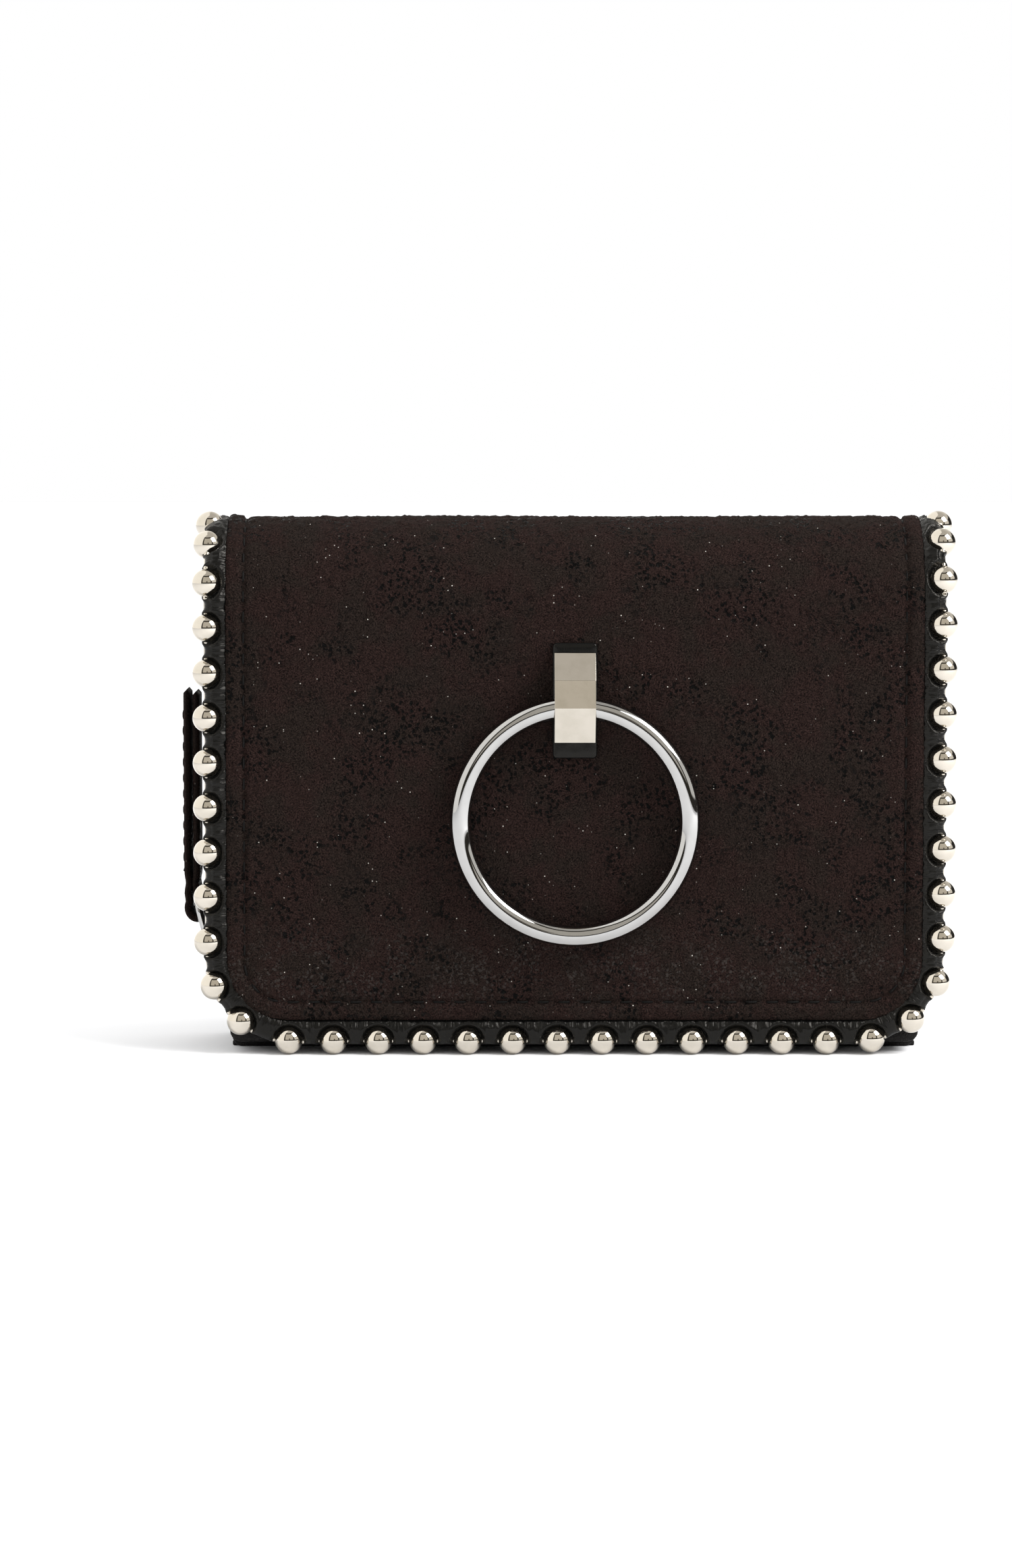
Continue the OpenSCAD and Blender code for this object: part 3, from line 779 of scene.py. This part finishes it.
def trim_frame(s):
    """Point on the ball chain's line at arc length s, with the directions ahead, inwards and outwards."""
    side = 1.0 if s >= 0 else -1.0
    d = abs(s) - RUN_FLAT
    if d < 0:
        point, inward, outward = (s, -TRIM_R, TRIM_Z), (0, 0, 1), (0, -1, 0)
    elif d < RUN_CORNER:
        a = d / TRIM_CORNER
        x = side * (RUN_FLAT + TRIM_CORNER * math.sin(a))
        point = (x, -TRIM_R, TRIM_Z + TRIM_CORNER * (1 - math.cos(a)))
        inward, outward = (-side * math.sin(a), 0, math.cos(a)), (0, -1, 0)
    elif d < RUN_CORNER + RUN_SIDE:
        point = (side * TRIM_X, -TRIM_R, TRIM_Z + TRIM_CORNER + d - RUN_CORNER)
        inward, outward = (-side, 0, 0), (0, -1, 0)
    else:
        a = (d - RUN_CORNER - RUN_SIDE) / TRIM_R
        point = (side * TRIM_X, -TRIM_R * math.cos(a), ARCH_Z + TRIM_R * math.sin(a))
        inward, outward = (-side, 0, 0), (0, -math.cos(a), math.sin(a))
    inward, outward = np.array(inward, float), np.array(outward, float)
    return np.array(point, float), np.cross(inward, outward), inward, outward


def ball_s(i):
    gap = CORNER_GAP if i < FIRST_LOW_BALL else 0
    return (i - (BALL_COUNT - 1) / 2) * BALL_PITCH + CHAIN_SHIFT - gap


def revolve(profile, segments, origin, axis, across, points, faces):
    """Adds a profile of (along, radius) pairs, turned about an axis, to the lists."""
    other = np.cross(axis, across)
    base = len(points)
    for along, radius in profile:
        centre = origin + along * axis
        points.extend(centre + radius * (c * across + s * other) for c, s in circle(segments))
    faces.extend(tube_faces(len(profile), segments, base))


def ball_profile():
    """Half section of a ball with the short necks of its links."""
    neck_r, neck_l, collar = 0.45 * MM, 0.62 * MM, 0.1 * MM
    start = math.asin((neck_r + collar) / BALL_R)
    half = [(BALL_R * math.cos(a), BALL_R * math.sin(a)) for a in np.linspace(start, math.pi / 2, 14)]
    end = half[0][0]
    neck = [(end + neck_l, 0.2 * MM), (end + neck_l - 0.1 * MM, 0.38 * MM),
            (end + neck_l - 0.25 * MM, neck_r), (end + 0.12 * MM, neck_r),
            (end + 0.02 * MM, neck_r + 0.04 * MM)]
    upper = neck + half
    return [(-along, radius) for along, radius in upper] + [(a, r) for a, r in reversed(upper[:-1])]


def add_balls():
    profile = ball_profile()
    rigid = range(3, BALL_COUNT - 3)
    points, faces = [], []
    for i in rigid:
        point, ahead, inward, _ = trim_frame(ball_s(i))
        revolve(profile, 48, point, ahead, inward, points, faces)
    row = mesh_piece("balls_flap", points, faces, NICKEL)
    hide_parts("flap_beads")
    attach(row, "flap")

    # the balls over the fold are separate pieces, one for each ball, none of them bent
    for i in [k for k in range(BALL_COUNT) if k not in rigid]:
        point, ahead, inward, _ = trim_frame(ball_s(i))
        points, faces = [], []
        revolve(profile, 48, point, ahead, inward, points, faces)
        ball = mesh_piece(f"ball_{i}", points, faces, NICKEL)
        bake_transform(ball)
        if i == 0:
            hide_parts("spine_beads")


def add_links():
    points, faces = [], []
    sides, rings = 10, 5
    wire = 0.4 * MM
    for i in range(BALL_COUNT - 1):
        faces += tube_faces(rings, sides, len(points))
        for spot in np.linspace(ball_s(i) + BALL_R, ball_s(i + 1) - BALL_R, rings):
            point, _, inward, outward = trim_frame(spot)
            points += [point + wire * (c * inward + s * outward) for c, s in circle(sides)]
    links = mesh_piece("chain_links", points, faces, NICKEL)
    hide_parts("flap_links")
    bend_front(links)


def add_piping():
    """The leather roll round the chain, with a socket and a lip at each ball and gathers between them."""
    roll_half, roll_high = 1.95 * MM, 1.45 * MM
    middle = roll_half - 0.65 * MM
    tail = math.radians(14) * TRIM_R
    first, last = ball_s(0) - tail, ball_s(BALL_COUNT - 1) + tail
    count = round((last - first) / (0.22 * MM))
    sides = 44
    stops = np.linspace(first, last, count + 1)
    frames = [trim_frame(s) for s in stops]
    angles = np.linspace(0, 2 * math.pi, sides, endpoint=False)
    s = np.repeat(stops, sides)
    a = np.tile(angles, count + 1)
    end_gap = np.minimum(s - first, last - s)
    taper = np.sqrt(np.clip(1 - (1 - np.clip(end_gap / (1.2 * MM), 0, 1)) ** 2, 0.02, 1))
    inset = middle + roll_half * np.cos(a) * taper
    lift = roll_high * np.sign(np.sin(a)) * np.abs(np.sin(a)) ** 0.85 * taper
    balls = np.array([ball_s(i) for i in range(BALL_COUNT)])
    centre = balls[np.abs(s[:, None] - balls).argmin(axis=1)]
    near = np.hypot(s - centre, inset)
    open_share = smoothstep(np.hypot((s - centre) * 0.94, inset), 1.9 * MM, 2.7 * MM)
    lift = lift * (0.3 + 0.7 * open_share)
    lip = 0.22 * MM * ridge(near, 2.6 * MM, 0.15 * MM)
    lip *= smoothstep(inset, -0.2 * MM, 0.8 * MM)
    lip *= 1 - smoothstep(inset, 1.9 * MM, 2.6 * MM)
    side = np.sign(np.sin(a)) * smoothstep(np.abs(np.sin(a)), 0.0, 0.35)
    spot = np.stack([s / 0.42, inset / 1.3, lift / 1.3], axis=1)
    folds = 1 - np.abs(value_noise(spot, 1 * MM, 21)) * 2
    folds += 0.5 * (1 - np.abs(value_noise(spot * 2.1, 1 * MM, 22)) * 2)
    gather = smoothstep(inset, 0.7 * MM, 2.0 * MM) * smoothstep(near, 2.5 * MM, 3.0 * MM)
    loose = 0.06 * MM * value_noise(np.stack([s, inset, lift], axis=1), 1.6 * MM, 23)
    lift = lift + side * (lip + 0.19 * MM * folds * gather + loose)
    upright_run = smoothstep(np.abs(s), RUN_FLAT, RUN_FLAT + RUN_CORNER)
    saddle = (0.05 + 0.35 * upright_run) * MM * smoothstep(np.abs(s - centre), 2.2 * MM, 3.1 * MM)
    inset = inset + np.where(np.cos(a) < -0.3, saddle, 0)
    base, _, inward, outward = [np.repeat(np.array(part), sides, axis=0) for part in zip(*frames)]
    points = base + inset[:, None] * inward + lift[:, None] * outward
    flat = np.stack([s, inset + a / (2 * math.pi) * 10 * MM], axis=1)
    roll = mesh_piece("piping_roll", points, tube_faces(count + 1, sides), PIPING, flat)
    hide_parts("flap_piping", "spine_piping")
    bend_front(roll)

    # the piping's thin edge, sewn in between suede and lining
    flange_from, flange_to, flange_half = 1.6 * MM, BALL_OUT + 3.4 * MM, 0.42 * MM
    section = [(flange_from, -flange_half), (flange_to, -flange_half), (flange_to, flange_half),
               (flange_from, flange_half)]
    stops = stops[::4]
    points = []
    for s in stops:
        point, _, inward, outward = trim_frame(s)
        points += [point + i * inward + o * outward for i, o in section]
    faces = tube_faces(len(stops), len(section))
    flat = np.zeros((len(points), 2))
    flat[:, 0] = np.repeat(stops, len(section))
    flange = mesh_piece("piping_flange", points, faces, PIPING, flat, is_smooth=False)
    bend_front(flange)


# ---------------------------------------------------------------- ring, bridge and strip


def hard_edges(piece, width, segments=3, angle=25):
    """Rounds the sharp edges of a metal piece and keeps its faces flat."""
    weld = piece.modifiers.new("weld", "WELD")
    weld.merge_threshold = 0.001 * MM
    bevel = piece.modifiers.new("bevel", "BEVEL")
    bevel.width = width
    bevel.segments = segments
    bevel.limit_method = "ANGLE"
    bevel.angle_limit = math.radians(angle)
    bevel.use_clamp_overlap = True
    piece.modifiers.new("normals", "WEIGHTED_NORMAL")


def extruded(name, outline, half, material):
    """An outline of (y, z) points, extruded across the width to both sides of the middle."""
    points = [(x, y, z) for x in (-half, half) for y, z in outline]
    return mesh_piece(name, points, tube_faces(2, len(outline)), material)


def add_ring():
    low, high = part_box("ring")
    wire = (high.y - low.y) / 2
    major = (high.x - low.x) / 2 - wire
    centre = (low + high) / 2
    rounds, sides = 256, 56
    points = []
    for up, right in circle(rounds):
        for out, back in circle(sides):
            r = major + wire * out
            points.append(centre + Vector((r * right, wire * back, r * up)))
    ring = mesh_piece("ring_polished", points, tube_faces(rounds, sides, closed=True), CHROME)
    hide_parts("ring")
    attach(ring, "ring")


def add_bridge():
    ring_low, ring_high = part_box("ring")
    wire = (ring_high.y - ring_low.y) / 2
    pivot_y = (ring_low.y + ring_high.y) / 2
    pivot_z = ring_high.z - wire
    low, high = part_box("bridge")
    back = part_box("bridge_strip")[0].y
    clearance, lower_step, upper_step = 0.48 * MM, 1.1 * MM, 0.9 * MM
    tunnel = wire + clearance
    upper_ridge = (low.y + 0.8 * MM, high.z - 3.9 * MM)
    cut = math.asin((back - pivot_y) / tunnel)
    arc = [(pivot_y + tunnel * math.sin(a), pivot_z + tunnel * math.cos(a))
           for a in np.linspace(cut, -math.pi - cut, 40)]
    outline = [(back, low.z), (back - lower_step, low.z), (low.y, pivot_z), upper_ridge,
               (back - upper_step, high.z), (back, high.z)] + arc
    bridge = extruded("bridge_polished", outline, high.x, NICKEL)
    hard_edges(bridge, 0.16 * MM, 3, 20)
    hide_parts("bridge")
    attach(bridge, "flap")
    head_r, prong_r = 0.75 * MM, 0.58 * MM
    shaft = ARCH_R - BOARD_IN - 0.4 * MM
    profile = [(0, head_r), (0.15 * MM, head_r), (0.3 * MM, prong_r), (shaft, prong_r)]
    ahead, across = np.array([0, -1.0, 0]), np.array([1.0, 0, 0])
    points, faces = [], []
    for z in (low.z + 1.6 * MM, high.z - 1.6 * MM):
        origin = np.array([0, -BOARD_IN - 0.5 * MM, z])
        revolve(profile, 20, origin, ahead, across, points, faces)
    prongs = mesh_piece("bridge_prongs", points, faces, NICKEL)
    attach(prongs, "flap")


def add_strip():
    low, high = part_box("bridge_strip")
    thickness = high.y - low.y

    def relief(x, v):
        distance = edge_distance(x, v, high.x, low.z, 0.5 * MM, high.z)
        spot = np.stack([x, v], axis=1)
        crown = -0.16 * MM * ridge(distance, 0, 0.45 * MM)
        return crown + 0.035 * MM * value_noise(spot, 1.7 * MM, 31)

    place = upright(low.y, high.y, thickness)
    strip = sheet_shell("strip", STRIP_LEATHER, place, high.x, low.z, high.z, thickness, 0.6 * MM,
                        0.25 * MM, high_corner=0.6 * MM, roll=0.3 * MM, relief=relief)
    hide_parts("bridge_strip")
    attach(strip, "flap")


# ---------------------------------------------------------------- body panels and card slots


def add_panel(name, node, material, covers=()):
    """A sewn upright panel in place of its CAD plate, with its face to the front."""
    low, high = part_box(node)
    thickness = high.y - low.y
    corner, inset = 1.6 * MM, 1.6 * MM

    def relief(x, v):
        distance = edge_distance(x, v, high.x, low.z, corner, high.z)
        channel = -0.14 * MM * ridge(distance, inset, 0.35 * MM)
        puff = 0.05 * MM * np.sin(np.clip(distance / inset, 0, 1) * math.pi)
        spot = np.stack([x, v], axis=1)
        return channel + puff + 0.04 * MM * value_noise(spot, 14 * MM, 41) - 0.05 * MM

    place = upright(low.y, high.y, thickness)
    panel = sheet_shell(name, material, place, high.x, low.z, high.z, thickness, corner, 1.0 * MM,
                        high_corner=1.2 * MM, roll=0.32 * MM, relief=relief)
    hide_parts(node, *covers)
    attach(panel, "wallet_body")
    path = np.array([(-high.x + inset, high.z - inset), (high.x - inset, high.z - inset)])
    thread = stitch_row(name + "_stitches", path, place, 0.1 * MM)
    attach(thread, "wallet_body")


def add_slot_border(name, node):
    """U-shaped glued edge between two card panels."""
    low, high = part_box(node)
    edge, deep, corner = 8 * MM, 45 * MM, 1.6 * MM
    half, inner, floor = high.x, high.x - edge, high.z - deep
    outline = [(-half, high.z)] + lower_corners(half, low.z, corner, 6)
    outline += [(half, high.z), (inner, high.z), (inner, floor), (-inner, floor), (-inner, high.z)]
    points = [(x, y, z) for y in (low.y, high.y) for x, z in outline]
    border = mesh_piece(name, points, tube_faces(2, len(outline)), LINING_BODY)
    hard_edges(border, 0.2 * MM, 2, 40)
    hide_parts(node)
    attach(border, "wallet_body")


def add_box_panel(name, node, material):
    """A thin rounded strip in place of a CAD plate that only shows its edge."""
    low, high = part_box(node)
    points = [(x, y, z) for x in (low.x, high.x) for y in (low.y, high.y) for z in (low.z, high.z)]
    faces = [(0, 1, 3, 2), (4, 6, 7, 5), (0, 4, 5, 1), (2, 3, 7, 6), (0, 2, 6, 4), (1, 5, 7, 3)]
    work = mesh_piece(name, points, faces, material)
    mesh = bmesh.new()
    mesh.from_mesh(work.data)
    long_edges = [e for e in mesh.edges if e.calc_length() > 8 * MM]
    bmesh.ops.subdivide_edges(mesh, edges=long_edges, cuts=40, use_grid_fill=True)
    for vertex in mesh.verts:
        wave = 0.06 * MM * math.sin(vertex.co.z / (4.1 * MM) + vertex.co.x / (5.3 * MM))
        thin = 0 if high.x - low.x < high.z - low.z else 2
        vertex.co[thin] += wave
    mesh.to_mesh(work.data)
    mesh.free()
    hard_edges(work, 0.25 * MM, 3, 40)
    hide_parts(node)
    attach(work, "wallet_body")


def there_and_back(count, half):
    """Section of a thin band: steps 0 to count - 1 on one face, and back on the other."""
    return [(k, -half) for k in range(count)] + [(k, half) for k in range(count - 1, -1, -1)]


def add_gusset(name, node, side):
    """Inward-folded cloth at one side of the note pocket."""
    low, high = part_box(node)
    backing_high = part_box("card_backing")[1]
    mid_low, mid_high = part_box("mid_panel")
    # a curve from the backing over the inward fold to the middle panel
    front = np.array([backing_high.x - 0.4 * MM, backing_high.y])
    fold = np.array([backing_high.x - 1.9 * MM, (backing_high.y + mid_low.y) / 2])
    rear = np.array([mid_high.x - 1.2 * MM, mid_low.y])
    pull = 2 * fold - (front + rear) / 2
    share = np.linspace(0, 1, 17)[:, None]
    bend = (1 - share) ** 2 * front + 2 * share * (1 - share) * pull + share * share * rear
    half = 0.36 * MM
    count = len(bend)
    section = there_and_back(count, half)
    levels = np.linspace(low.z, high.z, 46)
    points = []
    for z in levels:
        for i, offset in section:
            ahead = heading(bend, i)
            sway = 0.12 * MM * math.sin(z / (7 * MM)) * math.sin(math.pi * i / (count - 1))
            x = bend[i][0] - ahead[1] * offset + sway
            y = min(max(bend[i][1] + ahead[0] * offset, low.y), high.y)
            points.append((side * x, y, z))
    gusset = mesh_piece(name, points, tube_faces(len(levels), len(section)), LINING_BODY)
    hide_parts(node)
    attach(gusset, "wallet_body")


def add_body():
    add_panel("card_panel_back", "card_backing", LINING_BODY)
    for place in ("rear", "middle", "front"):
        add_panel("card_panel_" + place, "card_slot_" + place, LINING_BODY)
        add_slot_border("card_border_" + place, "slot_border_" + place)
    add_panel("mid_wall", "mid_panel", SUEDE_BODY)
    add_box_panel("side_wall_left", "side_band_left", SUEDE_BODY)
    add_box_panel("side_wall_right", "side_band_right", SUEDE_BODY)
    add_box_panel("base_panel", "bottom_panel", SUEDE_BODY)
    add_box_panel("pocket_base", "pocket_floor", LINING_BODY)
    add_gusset("gusset_cloth_left", "gusset_left", -1)
    add_gusset("gusset_cloth_right", "gusset_right", 1)


# ---------------------------------------------------------------- zip and puller

ZIP_CORNER = 6 * MM


def zip_path(low_z):
    """Points along the zip, from the lower left over the top to the right, with outward directions."""
    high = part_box("zip_teeth")[1]
    half_t = 0.7 * MM
    x, top = high.x - half_t, high.z - half_t
    spots = [((-x, z), (-1.0, 0.0)) for z in np.linspace(low_z, top - ZIP_CORNER, 60)[:-1]]
    for a in np.linspace(0, math.pi / 2, 12)[:-1]:
        spots.append(((-x + ZIP_CORNER * (1 - math.cos(a)), top - ZIP_CORNER * (1 - math.sin(a))),
                      (-math.cos(a), math.sin(a))))
    spots += [((px, top), (0.0, 1.0)) for px in np.linspace(-x + ZIP_CORNER, x - ZIP_CORNER, 80)[:-1]]
    for a in np.linspace(0, math.pi / 2, 12)[:-1]:
        spots.append(((x - ZIP_CORNER * (1 - math.sin(a)), top - ZIP_CORNER * (1 - math.cos(a))),
                      (math.sin(a), math.cos(a))))
    spots += [((x, z), (1.0, 0.0)) for z in np.linspace(top - ZIP_CORNER, low_z, 60)]
    return spots


def add_tape(name, node, wave):
    low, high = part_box(node)
    half = 0.25 * MM
    spots = zip_path(low.z)
    rows = 7
    depths = np.linspace(low.y, high.y, rows)
    section = there_and_back(rows, half)
    points = []
    for i, ((x, z), (nx, nz)) in enumerate(spots):
        for k, offset in section:
            out = offset + wave * math.sin(i * 0.55) * math.sin(math.pi * k / (rows - 1))
            points.append((x + nx * out, depths[k], z + nz * out))
    tape = mesh_piece(name, points, tube_faces(len(spots), len(section)), TAPE)
    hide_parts(node)
    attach(tape, "wallet_body")


def add_teeth():
    """Two rows of metal teeth that take turns along the zip."""
    low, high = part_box("zip_teeth")
    centre_y = (low.y + high.y) / 2
    spots = zip_path(low.z)
    line = np.array([p for p, _ in spots])
    out = np.array([n for _, n in spots])
    marks = path_marks(line)
    pitch = 1.7 * MM
    tooth_l, shank, head = 0.42 * MM, 0.62 * MM, 0.7 * MM
    outer = (high.y - low.y) / 2
    # one half of a tooth: place across the zip, and its share of the tooth's full length
    places = (-outer, -0.9 * MM, -0.7 * MM, -0.3 * MM, -0.2 * MM)
    shares = (0.75, 0.75, 1.0, 0.95, 0.6)
    section = [(y, -width) for y, width in zip(places, shares)]
    section += [(y, width) for y, width in zip(places[::-1], shares[::-1])]
    points, faces = [], []
    for k in range(int(marks[-1] / pitch * 2) - 1):
        s = (k + 1) * pitch / 2
        side = 1 if k % 2 else -1
        centre, normal = [np.array([np.interp(s, marks, column) for column in table.T])
                          for table in (line, out)]
        normal /= np.linalg.norm(normal)
        ahead = np.array([normal[1], -normal[0]])
        lifts = ((-head, 0.72), (-shank, 1.0), (shank, 1.0), (head, 0.72))
        faces += tube_faces(len(lifts), len(section), len(points))
        for lift, share in lifts:
            for y, width in section:
                spot = centre + normal * lift + ahead * tooth_l * width * share
                points.append((spot[0], centre_y - side * y, spot[1]))
    teeth = mesh_piece("zip_teeth_rows", points, faces, ZIP_METAL, is_smooth=False)
    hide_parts("zip_teeth")
    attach(teeth, "wallet_body")


def add_strap():
    """The puller's strap: one band folded round the loop, with the two layers sewn together above it."""
    low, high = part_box("puller_strap")
    thick = 1.3 * MM
    gap = 0.1 * MM
    outer_x, inner_x = low.x + thick / 2, low.x + 1.5 * thick + gap
    eye_x, eye_z = -57.0 * MM, 20.4 * MM
    eye_r, eye_top = 1.5 * MM, eye_z + 2.2 * MM
    half_y = (high.y - low.y) / 2
    middle_y = (high.y + low.y) / 2
    pinch_z, pinch = 24.2 * MM, 0.22 * MM
    seam_share, seam_low = 0.72, 26 * MM

    def squeeze(z):
        return pinch * ridge(z, pinch_z, 0.9 * MM)

    path = [(outer_x + squeeze(z), z) for z in np.linspace(high.z, eye_top, 64)]
    for a in np.linspace(math.radians(150), math.radians(390), 26):
        path.append((eye_x + eye_r * math.cos(a), eye_z + eye_r * 1.15 * math.sin(a)))
    for z in np.linspace(eye_top, high.z - 0.3 * MM, 64):
        path.append((inner_x - squeeze(z), z))
    path = np.array(path)
    points, flat = [], []
    run = path_marks(path)
    steps = 17
    section = [(-1 + 2 * k / (steps - 1), -face) for k, face in there_and_back(steps, 1)]
    for i, (x, z) in enumerate(path):
        ahead = heading(path, i)
        normal = np.array([ahead[1], -ahead[0]])
        end = min(run[i], run[-1] - run[i])
        cap = math.sqrt(max(1 - (1 - min(end / (0.65 * MM), 1)) ** 2, 0.03))
        for u, face in section:
            crown = (1 - abs(u) ** 7) ** 0.5
            edge_puff = 0.14 * ridge(abs(u), 0.87, 0.1)
            channel = 0.12 * ridge(abs(u), seam_share, 0.05)
            out = face * thick / 2 * cap * max(crown, 0.25) * (0.86 + edge_puff - channel)
            y = middle_y + u * half_y * (0.97 + 0.03 * cap)
            points.append((x + normal[0] * out, y, z + normal[1] * out))
            flat.append((u * half_y, run[i] + (0 if face > 0 else 200 * MM)))
    faces = tube_faces(len(path), len(section))
    strap = mesh_piece("strap_band", points, faces, SUEDE, np.array(flat))
    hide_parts("puller_strap")
    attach(strap, "puller")

    def outer_face(y, v, depth):
        return np.stack([low.x + depth, middle_y + y, v], axis=1)

    edge, seam_high = half_y * seam_share, high.z - 1.5 * MM
    path = np.array([(-edge, seam_high), (-edge, seam_low), (edge, seam_low), (edge, seam_high)])
    thread = stitch_row("strap_stitches", path, outer_face, 0.12 * MM, 2.4 * MM, 1.8 * MM, 0.16 * MM)
    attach(thread, "puller")


# ---------------------------------------------------------------- carried-over CAD pieces


def finish_cad_nodes():
    """Gives the CAD nodes that still show their materials, and the machined ones round edges."""
    finishes = {
        "zip_stops": ZIP_METAL, "zip_slider": ZIP_METAL, "puller_loop": CHROME,
        "body_magnet": STEEL, "flap_magnet": STEEL, "bridge_washer": STEEL,
    }
    for name, material in finishes.items():
        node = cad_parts[name]
        node.data.materials.clear()
        node.data.materials.append(material)
        if name in ("zip_stops", "zip_slider", "bridge_washer"):
            hard_edges(node, 0.12 * MM, 2, 30)


# ---------------------------------------------------------------- studio


def add_floor():
    half = 3.0
    points = [(-half, -half, 0), (half, -half, 0), (half, half, 0), (-half, half, 0)]
    floor = mesh_piece("floor", points, [(0, 1, 2, 3)], floor_material(), is_smooth=False)


def add_world():
    """A white light tent. Metal mirrors its opening with a dark rim, and the dark room to the right."""
    world = bpy.data.worlds.new("studio")
    bpy.context.scene.world = world
    world.use_nodes = True
    tree = world.node_tree
    background = tree.nodes["Background"]
    way = add(tree, "TexCoord", output="Generated")
    parts = tree.nodes.new("ShaderNodeSeparateXYZ")
    tree.links.new(way, parts.inputs[0])
    x, y, z = parts.outputs
    # angle to the right from the camera's side and height above the horizon, in degrees
    turn = times(tree, calc(tree, "ARCTAN2", x, times(tree, y, -1.0)), 180 / math.pi)
    rise = times(tree, calc(tree, "ARCSINE", z), 180 / math.pi)

    def zone(turn_low, turn_high, rise_low, rise_high, soft):
        across = between(tree, turn, turn_low, turn_high, soft)
        return times(tree, across, between(tree, rise, rise_low, rise_high, soft))

    tent = mix(tree, smooth(tree, rise, 15, 65), (1.08, 1.05, 0.99), (0.76, 0.73, 0.68))
    tent = mix(tree, between(tree, turn, -178, -34, 9), tent, (1.6, 1.57, 1.5))
    tent = mix(tree, zone(98, 150, -3, 30, 3), tent, (0.04, 0.04, 0.04))
    tent = mix(tree, zone(44, 100, -4, 6, 1), tent, (0.05, 0.045, 0.04))
    tent = mix(tree, zone(-37, 53, -4, 64, 1.5), tent, (0.05, 0.045, 0.035))
    tent = mix(tree, zone(-26, 42, 8, 53, 1.5), tent, (0.8, 0.755, 0.67))
    tent = mix(tree, zone(5, 16, 8, 19, 1), tent, (0.2, 0.18, 0.15))
    mirrored = add(tree, "LightPath", output="Is Glossy Ray")
    seen = add(tree, "LightPath", output="Is Camera Ray")
    light = mix(tree, mirrored, (1.2, 1.2, 1.2), tent)
    tree.links.new(mix(tree, seen, light, (1.0, 1.0, 1.0)), background.inputs["Color"])


add_camera()
add_suede()
add_inner_layers()
add_balls()
add_links()
add_piping()
add_ring()
add_bridge()
add_strip()
add_body()
add_tape("tape_front", "zip_tape_front", 0.05 * MM)
add_tape("tape_rear", "zip_tape_rear", -0.05 * MM)
add_teeth()
add_strap()
finish_cad_nodes()
add_floor()
add_world()
add_area_light("key", location=(0.75, -0.36, 0.77), aim=(0, 0, 0.03), size=(0.6, 0.6), power=14)
bpy.context.scene.view_settings.view_transform = "Standard"
